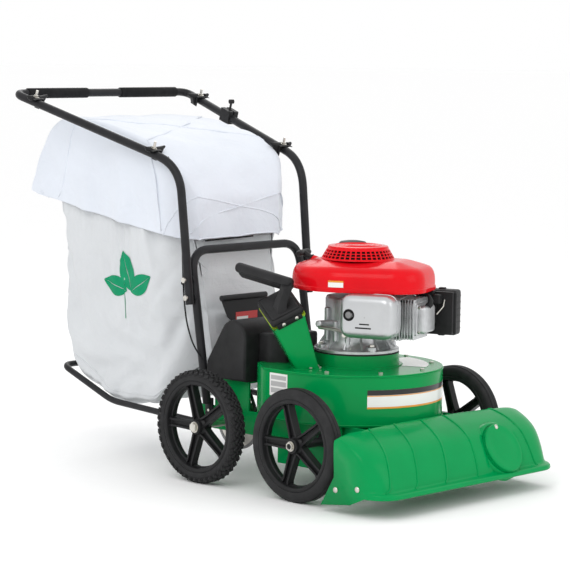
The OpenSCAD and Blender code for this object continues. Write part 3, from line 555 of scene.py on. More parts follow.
def nozzle():
    half = HOOD_W / 2
    spots = [half - LIP_CORNER + LIP_CORNER * math.sin(math.radians(a))
             for a in (0, 12, 24, 36, 48, 58, 67, 75, 82, 87, 90)]
    xs = [-p for p in spots[::-1]] + [spots[0] * (k / 16 - 1) for k in range(1, 32)] + spots
    shape = Shape().paint(HOOD_GREEN)
    rows = [hood_line(x) for x in xs]
    shape.rows(rows, closed=False)
    for row in (rows[0], rows[-1]):
        x = row[0].x
        back = [(x, AXLE_Y - 560, 100), (x, AXLE_Y - 513, 18), (x, AXLE_Y - 620, 32)]
        shape.patch(*row[:-1], *back)
    cut_hole(shape)
    shell = shape.make("nozzle_hood", replaces=["nozzle"], slot="green_plastic", sharp=50)
    wall = shell.modifiers.new("wall", "SOLIDIFY")
    wall.thickness = 3.2 * MM
    wall.offset = -1

    detail = Shape().paint(HOOD_GREEN)
    # ribs that fan out across the face
    for low, high in ((-352, -233), (-240, -132), (-112, -28), (30, 62), (300, 262)):
        path = []
        for k in range(15):
            t = 0.30 + 0.62 * k / 14
            x = low + (high - low) * (k / 14) ** 1.15
            line = hood_line(x)
            i = int(t * (len(line) - 1))
            path.append(line[i] + (line[i + 1] - line[i]) * (t * (len(line) - 1) - i))
        detail.tube(path, [3.6 * math.sin(math.pi * (k + 0.8) / 15.6) ** 0.4 for k in range(15)], 8)
    # throat box under the blower
    for x0, x1, y0 in ((-200, -196, -555), (196, 200, -555), (-196, 196, -174)):
        detail.box((x0, AXLE_Y + y0, 64), (x1, AXLE_Y - 170, HOUSING_Z))
    # seat of the hose port, flaring into the face
    detail.ring([(74.5, -26), (88, -26), (87, -10), (82, -3), (78, 1), (75, 1)], 96, PORT)
    detail.make("nozzle_details", slot="green_plastic")

    cover = Shape(PORT).paint(HOOD_GREEN)
    cover.lathe([(0, 6), (71, 6), (72, 7), (72, 10), (70, 12.4), (64, 13.6), (58, 12.6), (40, 13.3),
                 (0, 14)], 96)
    cover.paint(ZINC)
    cover.place = cover.place @ Matrix.Translation((0, 63, 0))
    cover.lathe([(2.5, -8), (2.5, 11), (7, 11), (7, 12.5), (5.6, 14.6), (3, 15.8), (0, 16.2)], 32)
    cover.make("hose_port_lid", "port_cover", ["port_cover"], "green_plastic")

    bolts = Shape()
    for s in (-1, 1):
        for y, z in ((-567, 66), (-646, 78)):
            bolts.paint(ZINC).place = turned((s * half, AXLE_Y + y, z), y=90 * s)
            bolts.lathe([(3, -9), (3, 0)], 12)
            bolts.lathe([(8, -0.2), (8, 1), (6.4, 2.8), (3.5, 3.9), (0, 4)], 32)
            bolts.rod(6.3, -9, -4, 6)
    bolts.make("nozzle_end_bolts", replaces=["nozzle_bolts"])


def cut_hole(shape):
    """Leaves out the hood's faces inside the hose port's seat."""
    centre, out = PORT.translation, PORT.col[2].to_3d()
    kept = []
    for f, look in zip(shape.faces, shape.looks):
        mid = sum((shape.verts[i] for i in f), Vector()) / len(f) - centre
        if len(f) > 4 or (mid - mid.dot(out) * out).length > PORT_R or abs(mid.dot(out)) > 60:
            kept.append((f, look))
    shape.faces, shape.looks = [k[0] for k in kept], [k[1] for k in kept]


def scroll_radius(degrees):
    """The blower housing's side stands further out the further it goes round."""
    return 236 + 34 * (60 - degrees) / 240


def scroll_line(t=0.0):
    """Plan of the blower housing, from its left rear corner round the front, in (x, y)."""
    arc = [(polar(scroll_radius(a) - t, a) + CRANK)[:2] for a in range(60, -184, -4)]
    return arc + [(-270 + t, AXLE_Y - 176 - t), (-206 + t, AXLE_Y - 90 - t), (60, AXLE_Y - 90 - t)]


def wrap(shape, first, last, low, high, off):
    """A patch on the housing's curved side between two angles of the scroll."""
    rows = []
    steps = max(2, int(abs(last - first) / 2))
    for k in range(steps + 1):
        a = first + (last - first) * k / steps
        rows.append([polar(scroll_radius(a) + off, a, z) + CRANK for z in (low, high)])
    shape.rows(rows, closed=False)


def housing():
    shape = Shape().paint(GREEN)
    outer, inner = scroll_line(), scroll_line(3)
    shape.stack([(inner, HOUSING_Z + 3), (inner, HOUSING_TOP), (outer, HOUSING_TOP),
                 (outer, HOUSING_Z + 1), (inset(outer, 1), HOUSING_Z)], caps=False)
    floor = [(x, y, HOUSING_Z + 0.5) for x, y in inner]
    hole = [polar(120, a, HOUSING_Z + 0.5) + CRANK for a in range(0, 360, 6)]
    fill_between(shape, floor, hole)
    # seam bead under the top plate and a weld bead at the foot
    for z, r in ((HOUSING_TOP - 1.5, 1.6), (HOUSING_Z + 5, 1.8)):
        shape.tube([(x, y, z) for x, y in scroll_line(-0.2)[:62]], r, 8)
    shape.make("blower_housing", replaces=["housing"], slot="painted_green", sharp=40)

    labels = Shape()
    for paint, low, high in ((WHITE, 256, 309), (LABEL_BLACK, 294, 309), (ORANGE, 291, 293.4),
                             (ORANGE, 256, 261)):
        labels.paint(paint)
        wrap(labels, -131, -40, low, high, 0.3 if paint is WHITE else 0.5)
    labels.paint(WHITE)
    for x, y0, y1, low, high in ((-270.4, -203, -272, 273, 338), (-270.6, -208, -267, 282, 296),
                                 (-270.6, -208, -267, 301, 315), (-270.6, -208, -267, 320, 332)):
        labels.patch(*((x, AXLE_Y + y, z) for y, z in rect(y0, low, y1, high)))
        labels.paint(PALE)
    labels.make("housing_labels")

    top = Shape().paint(GREEN)
    plate = scroll_line(0.2)
    for z in (PLATE_TOP, HOUSING_TOP):
        hole = [polar(40, a, z) + CRANK for a in range(0, 360, 10)]
        fill_between(top, [(x, y, z) for x, y in plate], hole)
    top.stack([(plate, HOUSING_TOP), (plate, PLATE_TOP)], caps=False)
    top.make("blower_top_plate", replaces=["housing_top"], slot="painted_green", sharp=30, bevel=1.2)

    trim = Shape().paint(WHITE)
    trim.rows([[polar(r, -4 - 4.4 * k, PLATE_TOP + 0.6) + CRANK for r in (136, 210)]
               for k in range(15)], closed=False)
    trim.make("top_plate_label")


def fill_between(shape, rim_line, hole):
    """Fills the flat ring between an outline and a round hole, ray by ray from the hole's middle."""
    mid = sum((Vector(p) for p in hole), Vector()) / len(hole)
    n = len(rim_line)
    radius = (Vector(hole[0]) - mid).length
    inner = [mid + (Vector(p) - mid).normalized() * radius for p in rim_line]
    shape.add([*rim_line, *inner], [[k, (k + 1) % n, n + (k + 1) % n, n + k] for k in range(n)])


# ---- Handle, frame tubes and bag ----------------------------------------

def leg_y(z):
    return AXLE_Y + 92 + (z - 208) * 74 / 448


def row(points):
    return [(x, y + AXLE_Y, z) for x, y, z in points]


def handle():
    upper = Shape().paint(BLACK)
    legs = row(both_ways([(256, 142, 500), *RAIL]))
    upper.tube(route(legs, [84, 40, 40, 84], 14), TUBE_R, 24)
    upper.make("upper_handle_tube", replaces=["upper_handle"], slot="black_paint", sharp=60)
    lower = Shape().paint(BLACK)
    hoop = row(both_ways([(230, 92, 208), (230, 166, 656)]))
    lower.tube(route(hoop, [70, 70], 16), TUBE_R, 24)
    for s in (-1, 1):
        lower.box((s * 219 - 4, AXLE_Y + 78, 145), (s * 219 + 4, AXLE_Y + 108, 225))
        for z in (520, 572):
            lower.place = turned((s * 243, leg_y(z), z), y=90)
            lower.lathe([(13, -2), (13, 2)], 24)
            lower.place = Matrix.Identity(4)
    lower.make("lower_handle_hoop", replaces=["lower_handle"], slot="black_paint", sharp=60)
    rear = Shape().paint(BLACK)
    arms = row(both_ways([(240, 96, 150), (240, 500, 170), (240, 728, 256)]))
    rear.tube(route(arms, [34] * 4, 12), TUBE_R * 0.75, 20)
    rear.make("bag_support_tube", replaces=["bag_support"], slot="black_paint", sharp=60)

    grips = Shape().paint(FOAM)
    for s in (-1, 1):
        grips.place = turned((0, HANDLE_Y, HANDLE_Z), y=90 * s)
        grips.ring([(12.8, 70), (15, 70), (16, 72), (16, 314), (15, 316), (12.8, 316)], 40)
        for k in range(1, 12):
            at = 70 + 20.5 * k
            grips.ring([(15.7, at - 0.6), (16.3, at), (15.7, at + 0.6)], 32)
    grips.make("foam_grips", replaces=["handle_grips"], slot="rubber_black")


def rail_place(y, s):
    """A place on the sloping rail tube at y, with +Y along the tube and +Z above it."""
    a, b = map(Vector, RAIL)
    p = a + (b - a) * ((y - a.y) / (b.y - a.y))
    run = b - a
    splay = math.degrees(math.atan2(run.x, run.y))
    climb = math.degrees(math.asin(run.z / run.length))
    place = ROW @ turned(p, x=climb, z=-splay)
    return Matrix.Scale(-1, 4, (1, 0, 0)) @ place if s < 0 else place


def hangers():
    plates = Shape()
    studs = Shape()
    for s in (-1, 1):
        for y in (285, 735):
            place = rail_place(y, s)
            plates.paint(PLASTIC).place = place
            saddle = [(-24, 13), (-24, 15.8), (-6, 16.6), (6, 16.6), (24, 13.5), (24, 11.6),
                      (10, 13.2), (-10, 13.2)]
            plates.stack([(saddle, at) for at in (-18, -16, 16, 18)], 1)
            plates.stack([(rect(-24, 14, -21.5, -15), at) for at in (-15, -10, 10, 15)], 1)
            # outer horn
            plates.tube([(14, 0, 13.5), (22, 2, 13), (28, 4, 15.4), (33, 5, 19)],
                        [8.6, 8, 6.4, 3.4], 14)
            # inner wing, with the web that grips the tube
            plates.tube([(-12, 0, 12), (-26, 0, 12.5), (-40, 0, 16), (-52, 0, 22)],
                        [9, 9, 7, 3], 14)
            web = [(-12, 12), (-38, 13), (-27, -12), (-15, -20)]
            plates.stack([(web, at) for at in (-9, -7, 7, 9)], 1)
            studs.paint(ZINC).place = place
            studs.rod(4, 15.5, TUBE_R + 25, 20)
            studs.lathe([(10, 16.4), (10, 17.6)], 28)
            studs.rod(7, 17.6, 22.5, 6)
    plates.make("bag_hanger_brackets", replaces=["bag_hangers"], slot="black_paint", sharp=35,
                bevel=0.6)
    studs.make("bag_hanger_studs", slot="bright_steel")


def section(points, n):
    """Resamples a closed outline to n evenly spaced points, the first one kept."""
    pts = [Vector(p) for p in points]
    pts.append(pts[0])
    lengths = [0.0]
    for a, b in zip(pts, pts[1:]):
        lengths.append(lengths[-1] + (b - a).length)
    out = []
    for k in range(n):
        want = lengths[-1] * k / n
        i = max(j for j in range(len(lengths) - 1) if lengths[j] <= want)
        t = (want - lengths[i]) / (lengths[i + 1] - lengths[i])
        out.append(pts[i] + (pts[i + 1] - pts[i]) * t)
    return out


def half_width(y):
    """Half the bag's width at y: the front corners turn in towards the duct."""
    return BAG_HALF - 82 * (max(0, 292 - y) / 100) ** 1.6 if y > 192 else BAG_HALF - 82


BAG_HALF = 242
BAG_SIDE = [(136, 330), (196, 700), (202, 815), (262, 900), (430, 980), (738, 1004), (742, 743),
            (731, 461), (706, 292), (497, 190), (307, 190)]


def bag_mesh(shape, shrink):
    """Cloth box of the bag: its side outline carried across, rounded towards both side panels."""
    line = section(rounded(inset(BAG_SIDE, shrink), 16, 4), 150)
    mid = Vector((450, 600))
    rows = []
    for u in [k / 28 for k in range(-28, 29)]:
        pull = 10 * max(0, abs(u) - 0.86) / 0.14
        rows.append([(u * (half_width(p.x) - shrink),
                      AXLE_Y + p.x + (mid.x - p.x) / (mid - p).length * pull,
                      p.y + (mid.y - p.y) / (mid - p).length * pull) for p in line])
    shape.rows(rows, caps=False)
    for rim_row in (rows[0], rows[-1]):
        # side panel as rings that close towards its middle
        side = math.copysign(1, rim_row[0][0])
        rings = []
        for f in [1 - k / 26 for k in range(26)] + [0.02]:
            ring = [(AXLE_Y + mid.x + (y - AXLE_Y - mid.x) * f, mid.y + (z - mid.y) * f)
                    for _, y, z in rim_row]
            rings.append([(side * (half_width(y - AXLE_Y) - shrink), y, z) for y, z in ring])
        shape.rows(rings, caps=False)
        shape.patch(*rings[-1])


def settle(obj, pin, frames, pressure, cap):
    """Runs the cloth on obj, holds each point within cap of its start and applies the result."""
    start = [v.co.copy() for v in obj.data.vertices]
    group = obj.vertex_groups.new(name="pinned")
    for i, v in enumerate(obj.data.vertices):
        group.add([i], pin(v.co / MM), "REPLACE")
    cloth = obj.modifiers.new("cloth", "CLOTH")
    cloth.settings.vertex_group_mass = "pinned"
    cloth.settings.quality = 6
    cloth.settings.mass = 0.25
    cloth.settings.tension_stiffness = cloth.settings.compression_stiffness = 18
    cloth.settings.shear_stiffness = 8
    cloth.settings.bending_stiffness = 0.6
    cloth.settings.use_pressure = pressure > 0
    cloth.settings.uniform_pressure_force = pressure
    cloth.settings.shrink_min = -0.006
    cloth.collision_settings.use_collision = False
    scene = bpy.context.scene
    cloth.point_cache.frame_start, cloth.point_cache.frame_end = 1, frames
    for f in range(1, frames + 1):
        scene.frame_set(f)
    shaped = obj.evaluated_get(bpy.context.evaluated_depsgraph_get()).to_mesh()
    moved = [v.co.copy() for v in shaped.vertices]
    obj.modifiers.remove(cloth)
    obj.vertex_groups.remove(group)
    scene.frame_set(1)
    for v, a, b in zip(obj.data.vertices, start, moved):
        step = b - a
        if step.length > cap * MM:
            step *= cap * MM / step.length
        v.co = a + step
    obj.data.update()


def clamp_box(obj, low, high):
    """Keeps every point of a cloth piece inside a box, in mm."""
    for v in obj.data.vertices:
        for i in range(3):
            v.co[i] = min(max(v.co[i], low[i] * MM), high[i] * MM)


def crease(across, along, size):
    """Height of cloth between sharp creases, from 0 in a crease to 0.3 away from it."""
    return min(0.3, abs(noise.noise(Vector((across / size, along / (2.4 * size), 5)))))


def wrinkle(obj, size, height, keep=None):
    """Pushes points along their normals by soft noise, with long folds from the upper corners."""
    for v in obj.data.vertices:
        p = v.co / MM
        folds = noise.fractal(Vector((p.x / size, p.y / size, p.z / (size * 2.2))), 0.8, 2.1, 3)
        folds += 4.5 * crease(p.y + 0.55 * p.z, p.z, 105) - 0.6
        v.co += v.normal * folds * height * MM * (keep(p) if keep else 1)
    obj.data.update()


def bag():
    shape = Shape().paint(CANVAS)
    bag_mesh(shape, 5)
    cloth = shape.make("debris_bag", replaces=["bag"], slot="bag_cloth", sharp=180)

    def held(p):
        y = p.y - AXLE_Y
        front = y < 215 and p.z < 470
        top = p.z > 960
        corners = y > 700 or p.z < 260
        return 1.0 if front or top else 0.45 if corners else 0.12
    wrinkle(cloth, 130, 9, lambda p: 0.25 if p.z > 960 or p.y - AXLE_Y < 200 else 1)
    settle(cloth, held, 18, 0.8, 13)
    clamp_box(cloth, (-250, AXLE_Y + 118, 172), (250, AXLE_Y + 752, 1014))
    for v in cloth.data.vertices:
        # the bottom sags between the support's arms, in front of its rear bar
        x, y, z = abs(v.co.x) / MM, v.co.y / MM - AXLE_Y, v.co.z / MM
        if 250 < y < 735 and z < 340:
            over_arm = min(1, (y - 250) / 60) * (15 + 24 * max(0, y - 500) / 206)
            between = 44 * min(1, max(0, y - 320) / 300) * max(0, 1 - (x / 228) ** 4)
            v.co.z -= (over_arm + between * min(1, (735 - y) / 25)) * min(1, (340 - z) / 60) * MM
    cloth.data.update()
    finer = cloth.modifiers.new("finer", "SUBSURF")
    finer.levels = finer.render_levels = 1

    neck = Shape(ROW).paint(BLACK)
    mouth = rounded(rect(*DUCT), 12, 4)
    neck.stack([(inset(mouth, -grow), y) for y, grow in (
        (116, 0), (121, 3), (126, 0), (140, 2), (158, 8))], 1, caps=False)
    neck.make("bag_neck_sleeve", slot="bag_cloth")
    return cloth


def cover():
    """The white rain cover: one sheet over the bag's top that hangs down both sides."""
    ridge = [(191, 684), (193, 750), (198, 820), (258, 912), (430, 992), (745, 1016), (866, 800)]
    hem = [(238, 694), (246, 694), (256, 696), (284, 700), (410, 718), (640, 756), (866, 798)]
    top, low = smooth_line([Vector(p) for p in ridge], 11), smooth_line([Vector(p) for p in hem], 11)
    rows = []
    for a, b in zip(top, low):
        side = []
        for k in range(16, -1, -1):
            y, z = a.x + (b.x - a.x) * k / 16, a.y + (b.y - a.y) * k / 16
            side.append((half_width(y) + 7, y, z))
        edge = side[-1][0]
        turns = [math.sin(math.pi * k / 6) for k in (1, 2, 3)]
        across = [(edge - 12 * t, a.x - 3 * t * (a.y < 850), a.y + 3 * t * (a.y > 850))
                  for t in turns]
        _, y, z = across[-1]
        middle = [((edge - 12) * (1 - k / 10), y, z + 2 * math.sin(math.pi * k / 20))
                  for k in range(1, 11)]
        half = side + across + middle
        rows.append(row(half + [(-x, y, z) for x, y, z in half[-2::-1]]))
    shape = Shape().paint(NYLON)
    shape.rows(rows, closed=False)
    sheet = shape.make("bag_rain_cover", replaces=["bag_cover"], slot="bag_cloth", sharp=180)
    flute(sheet)
    thick = sheet.modifiers.new("thick", "SOLIDIFY")
    thick.thickness = 1.2 * MM
    finer = sheet.modifiers.new("finer", "SUBSURF")
    finer.levels = finer.render_levels = 1
    return sheet


def flute(sheet):
    """Gives the cover's hanging sides shallow folds that widen towards the hem."""
    for v in sheet.data.vertices:
        p = v.co / MM
        y = p.y - AXLE_Y
        on_side = abs(p.x) > half_width(y) + 3
        drop = max(0.0, min(1.0, (1010 - p.z) / 260)) if on_side else 0.0
        wave = math.sin(y / 31 + 2.2 * noise.noise(Vector((y / 160, p.z / 210, 3 * p.x / 250))))
        out = 8 * drop * wave + 9 * drop * noise.noise(Vector((y / 70, p.z / 110, 7)))
        lift = 16 * crease(p.y - 0.7 * p.z, p.z + p.x, 90)
        out = max(out, -1.5) + 2 * drop + (lift if on_side else 0)
        v.co.x += math.copysign(1, p.x) * out * MM
        sag = 3.5 * noise.noise(Vector((p.x / 90, y / 120, 1))) if not on_side else 0
        if not on_side and p.z < 830:
            v.co.y += 4 * math.sin(p.x / 26 + p.z / 90) * (830 - p.z) / 150 * MM
        v.co.z += (sag + (0 if on_side else lift) - abs(wave) * drop * 1.5) * MM
    sheet.data.update()


def bag_extras(cloth, sheet):
    """Piping on the cover, seams, a strap and the printed leaf of the bag."""
    hem = Shape().paint(NYLON)
    data = sheet.data
    # two more than the points in a row of the cover, so the piping runs aslant, not along the border
    stride = 61
    border = [data.vertices[k * stride].co / MM for k in range(len(data.vertices) // stride)]
    for path in (border, [Vector((-p.x, p.y, p.z)) for p in border]):
        hem.tube(path, 2.2, 8)
    hem.tube([data.vertices[j].co / MM for j in range(stride)], 2.2, 8)
    hem.make("bag_cover_hem", slot="bag_cloth", sharp=180)

    skin = BVHTree.FromObject(cloth, bpy.context.evaluated_depsgraph_get())

    def on_bag(s, y, z, off):
        hit = skin.ray_cast(Vector((s * 0.4, (AXLE_Y + y) * MM, z * MM)), Vector((-s, 0, 0)))[0]
        if not hit or abs(hit.x) < (half_width(y) - 30) * MM:
            hit = skin.find_nearest(Vector((s * (half_width(y) - 8), AXLE_Y + y, z)) * MM)[0]
        return hit.x / MM + s * off, hit.y / MM, hit.z / MM

    seams = Shape().paint(CANVAS)
    side = section(rounded(inset(BAG_SIDE, 13), 16, 4), 120)
    for s in (-1, 1):
        path = [on_bag(s, p.x, p.y, 0.3) for p in side]
        seams.tube(path + path[:1], 2.2, 8)
    seams.make("bag_side_seams", slot="bag_cloth", sharp=180)

    straps = Shape().paint(FOAM)
    straps.tube([(x, AXLE_Y + 186.5 - 1.2 * math.cos(x / 40), 683 + 0.02 * x)
                 for x in range(-150, 60, 10)], 2.6, 8)
    straps.make("bag_cover_strap", slot="rubber_black")

    leaf = Shape().paint(PRINT)
    for s in (-1, 1):
        for cy, cz, size, lean in ((432, 575, 64, 70), (368, 540, 54, 150), (486, 528, 54, 15),
                                   (440, 470, 40, 82)):
            c, n = math.cos(math.radians(lean)), math.sin(math.radians(lean))
            for half in ((-1, -0.75, -0.5, -0.25, -0.04), (0.04, 0.25, 0.5, 0.75, 1)):
                rows = []
                for k in range(33):
                    t = k / 32
                    w = (0.34 * math.sin(math.pi * t) ** 0.8 * (1 - 0.35 * t) if size > 40
                         else 0.03) + 0.002
                    rows.append([on_bag(s, cy + size * 2 * ((t - 0.5) * c - b * w * n),
                                        cz + size * 2 * ((t - 0.5) * n + b * w * c), 1.5)
                                 for b in half])
                leaf.rows(rows, closed=False)
    leaf.make("bag_leaf_print", slot="bag_cloth")


# ---- Engine -------------------------------------------------------------

ENGINE = turned(CRANK, z=ENGINE_TURN)
STARTER = ENGINE @ turned((65, 171, 640), x=-60)


SHROUD_SIDES = 120


def shroud_line(shrink, z):
    """Plan of the shroud: the outline round three circles."""
    circles = ((0, 26, 168), (-36, -128, 96), (46, -118, 100))
    pts = []
    for k in range(SHROUD_SIDES):
        a = 2 * math.pi * k / SHROUD_SIDES
        c, s = math.cos(a), math.sin(a)
        x, y, r = max(circles, key=lambda q: q[0] * c + q[1] * s + q[2])
        pts.append((x + (r - shrink) * c, y + (r - shrink) * s, z))
    return pts


def shroud():
    shape = Shape(ENGINE).paint(RED)
    layers = [(5, 569.5), (1, 570), (0, 574), (0, 581), (2.2, 583), (2.2, 592), (2.8, 602), (4, 612),
              (7, 622), (11.5, 630), (18, 636), (30, 640.5), (50, 646), (66, 650.5), (76, 653),
              (84, 654.6), (94, 655)]
    shape.rows([shroud_line(t, z) for t, z in layers], caps=False)
    shape.patch(*shroud_line(94, 655))
    shape.place = STARTER
    shape.lathe([(17, -36), (15, -14), (13, -3), (11.5, 0), (6, 0.2)], 32)
    shape.make("engine_top_shroud", replaces=["engine_shroud"], slot="red_plastic", sharp=36)

    label = Shape(ENGINE)
    for paint, off, low, high in ((WHITE, 1.6, 585, 604), (ORANGE, 1.9, 599, 604)):
        label.paint(paint)
        label.rows([[polar(165.2 + off, 181 + 1.9 * k, z) + Vector((0, 26, 0))
                     for z in (low, high)] for k in range(9)], closed=False)
    label.make("engine_shroud_label")


def recoil():
    cap, gap = Vector(FUEL_CAP), 46.5

    def limit(r, a):
        """Keeps a radius at angle a out of the gap round the fuel cap."""
        d = Vector((math.cos(a), math.sin(a)))
        near = cap.dot(d)
        root = near * near - cap.length_squared + gap ** 2
        return min(r, near - math.sqrt(root)) if near > 0 and root > 0 else r

    def turned_rows(shape, profile):
        turns = [math.radians(2.5 * k) for k in range(144)]
        shape.rows([[(limit(r, a) * math.cos(a), limit(r, a) * math.sin(a), h) for r, h in profile]
                    for a in turns], caps=False, loop=True)

    shape = Shape(ENGINE).paint(RED)
    for t0, t1 in ((-0.02, 0.14), (0.33, 0.4), (0.58, 0.65), (0.84, 1.0)):
        (r0, z0), (r1, z1) = [(107 - 19 * t, 655 + 32 * t) for t in (t0, t1)]
        turned_rows(shape, [(r0, z0), (r1, z1), (r1 - 4, z1), (r0 - 4, z0)])
    turned_rows(shape, [(88, 686), (88, 689), (86, 692), (82, 693), (40, 693.4), (0.1, 693.5),
                        (0.1, 689), (84, 686)])
    tilt = math.degrees(math.atan2(19, 32))
    for k in range(40):
        a = 2 * math.pi * k / 40
        if limit(107, a) >= 106:  # no bars behind the fuel cap
            place = Matrix.Rotation(a, 4, "Z") @ turned((95.5, 0, 671), y=-tilt)
            shape.box((-2, -2.2, -17.5), (1.6, 2.2, 17.5), place, edge=0.5)
    for k in range(3):
        shape.ring([(30 + 16 * k, 693), (34 + 16 * k, 695), (38 + 16 * k, 693)], 64)
    # a cone painted near-black behind the bars, as painted shade
    shape.paint(PAINTED_SHADE)
    turned_rows(shape, [(101, 655), (82, 686), (80, 686), (99, 655)])
    shape.make("recoil_grille", replaces=["recoil_cover"], slot="red_plastic", sharp=35)


def crankcase():
    shape = Shape(ENGINE).paint(CAST)
    shape.lathe([(20, 388.5), (120, 388.5), (124, 390), (124, 397), (121, 399), (112, 400),
                 (106, 404), (96, 417), (93, 424), (92, 440), (92, 540), (88, 546), (30, 547)], 128)
    for k in range(4):
        shape.rod(14, 389, 410, 32, Matrix.Translation(polar(110, 45 + 90 * k)))
    for k in range(14):
        shape.add([(r, y, z) for y in (-2.4, 2.4) for r, z in ((92, 401), (114, 401), (92, 436))],
                  [[0, 1, 2], [5, 4, 3], [1, 4, 5, 2], [0, 3, 4, 1], [0, 2, 5, 3]],
                  turned((0, 0, 0), z=360 / 14 * k + 4))
    # cylinder with its cooling fins, and the boss for the push rods
    shape.slab((-48, -160, 436), (48, -70, 548), 7)
    for k in range(9):
        shape.slab((-60, -156 + 8.4 * k, 430), (60, -152.8 + 8.4 * k, 554), 1.2, 2)
    shape.slab((-92, -62, 440), (-52, 20, 530), 12)
    # bosses, and the bare stub of the oil filler
    for x, y, z, r, h in ((-88, 30, 420, 9, 60), (-76, 62, 420, 8, 96), (-96, -10, 400, 7, 40),
                          (66, 70, 420, 9, 80), (90, 20, 410, 8, 90)):
        shape.rod(r, z, z + h, 24, Matrix.Translation((x, y, 0)), edge=1.5)
    shape.tube([(-84, 44, 470), (-118, 52, 474), (-150, 58, 476), (-153, 58, 476)],
               [12, 10, 10, 7], 24)
    shape.paint(ZINC)
    for k in range(8):
        shape.rod(5, 399, 405, 6, Matrix.Translation(polar(103, 45 * k + 12)))
    shape.make("engine_crankcase", replaces=["crankcase"], slot="cast_alloy", sharp=35)


def cylinder_head():
    head = Shape(ENGINE).paint(CAST)
    for k in range(5):
        head.slab((-58, -197 + 8.4 * k, 434), (58, -193.4 + 8.4 * k, 550), 1.4, 2)
    head.slab((-50, -200, 444), (50, -158, 542), 6)
    head.slab((-44, -226, 452), (44, -197, 530), 9)
    head.slab((-49, -204, 446), (49, -199, 536), 2.4)
    head.tube([(48, -184, 492), (66, -184, 492)], 15, 28)
    head.paint(ZINC)
    for x in (-43, 43):
        for z in (456, 527):
            head.rod(4.2, 0, 6, 6, turned((x, -205, z), x=90))
    head.paint(PLASTIC)
    head.tube([(0, -212, 520), (0, -224, 534), (0, -226, 544), (4, -220, 556), (14, -200, 566)],
              [9.5, 9.5, 8, 5, 3.5], 18)
    head.make("engine_cylinder_head", replaces=["cylinder_head"], slot="cast_alloy", sharp=35)


def muffler_guard():
    guard = Shape(ENGINE).paint(SILVER)
    outline = rounded(rect(-178, 445, -18, 569), 34, 8)
    curve = [math.pi / 2 * k / 6 for k in range(7)]
    bowl = [(inset(outline, 22 - 22 * math.cos(a)), -166 - 22 * math.sin(a)) for a in curve]
    guard.stack([(outline, -110), (outline, -140), *bowl], 0, caps=False)
    # the flat face closes towards its middle
    flat, x = bowl[-1]
    mid = Vector((-98, 507))
    for f0, f1 in ((1, 0.6), (0.6, 0.25), (0.25, 0.02)):
        guard.stack([([mid + (p - mid) * f for p in flat], x - (1 - f) * 0.6) for f in (f0, f1)], 0,
                    caps=False)
    # painted shade: a near-black lip round the outlet and a disc closing its hole
    guard.paint(PAINTED_SHADE)
    outlet = turned((-188, -50, 512), y=-90)
    guard.ring([(11, 0.4), (14, 2), (17, 0.6), (16, -2), (11, -2)], 48, outlet)
    guard.lathe([(11.4, 0.2), (9, -0.1), (0, -0.1)], 32, outlet)
    guard.paint(SILVER).ring([(8.4, 0.2), (9.4, 1.4), (10.2, 0.2)], 40, outlet)
    # painted shade: two vent slots drawn as near-black strips on the face
    guard.paint(PAINTED_SHADE)
    for z, y0, y1 in ((488, -112, -82), (477, -118, -70)):
        guard.slab((-189.1, y0, z - 2), (-186, y1, z + 2), 0.9, 2)
    # seam where the guard's two halves meet
    guard.paint(SILVER)
    rim_line = [(-138, y, z) for y, z in inset(outline, -0.6)]
    guard.tube(rim_line + rim_line[:1], 1.1, 8)
    guard.make("muffler_heat_guard", replaces=["muffler_guard"], slot="bright_steel", sharp=40)


def air_cleaner():
    cleaner = Shape(ENGINE).paint(PLASTIC)
    cleaner.slab((102, -266, 434), (152, -166, 566), 9)
    cleaner.slab((100, -268, 440), (112, -164, 560), 4)
    for k in range(6):
        cleaner.slab((112, -267.4, 452 + 19 * k), (146, -164.8, 455 + 19 * k), 1.2, 2)
    cleaner.slab((150, -248, 452), (153.4, -184, 548), 1.6, 2)
    for z in (430, 563):
        cleaner.slab((118, -226, z), (134, -206, z + 8), 2.4, 2)
    cleaner.make("air_cleaner_box", replaces=["air_cleaner_cover"], slot="black_plastic", sharp=35)


def linkage():
    small = Shape(ENGINE).paint(PLASTIC)
    small.tube(smooth_line([(100, -60, 575), (104, -110, 560), (96, -150, 548),
                            (88, -176, 532)], 6), 4.5, 14)
    small.tube(smooth_line([(78, -232, 540), (84, -222, 552), (92, -190, 560),
                            (96, -150, 562)], 6), 3, 12)
    small.slab((58, -232, 528), (92, -206, 556), 5)
    small.slab((70, -208, 534), (100, -160, 566), 6)
    small.paint(ZINC)
    small.tube([(62, -222, 498), (80, -236, 520), (84, -238, 540)], 2.2, 10)
    small.tube([(-60, -30, 552), (-30, -100, 560), (40, -150, 560)], 2.2, 10)
    small.tube([(-96, 10, 452), (-128, 24, 462), (-176, 44, 470)], 5.5, 16)
    small.rod(9, 0, 12, 6, turned((-104, -8, 440), y=-70))
    small.make("engine_linkage_and_hoses", slot="black_plastic", sharp=40)


def fuel_cap():
    lid = Shape(ENGINE @ Matrix.Translation((*FUEL_CAP, 0))).paint(PLASTIC)
    lid.lathe([(27.1, 661), (40, 664), (41.5, 667), (41.5, 686), (40, 689.5), (36, 692.5),
               (20, 695.2), (0, 696)], 72)
    for k in range(36):
        lid.slab((40.6, -1.6, 666), (43, 1.6, 686), 0.8, 2, place=turned((0, 0, 0), z=10 * k))
    lid.make("fuel_filler_cap", "fuel_cap", ["fuel_cap"], "black_plastic", sharp=40)


def starter_grip():
    grip = Shape(STARTER).paint(PLASTIC)
    grip.tube([(x, 0, 34 - 0.0016 * x * x) for x in range(-42, 43, 6)],
              [6.5, 9, 9.8, 10, 9.6, 9.2, 9, 9, 9, 9.2, 9.6, 10, 9.8, 9, 6.5], 20)
    grip.lathe([(5, 1), (11.5, 1), (12, 2), (12, 5), (8.6, 7), (7.8, 14), (8.6, 26), (9, 34)], 28)
    grip.make("starter_pull_grip", "starter_grip", ["starter_grip"], "black_plastic", sharp=60)


# ---- Chipper chute, guard and mouth plate --------------------------------

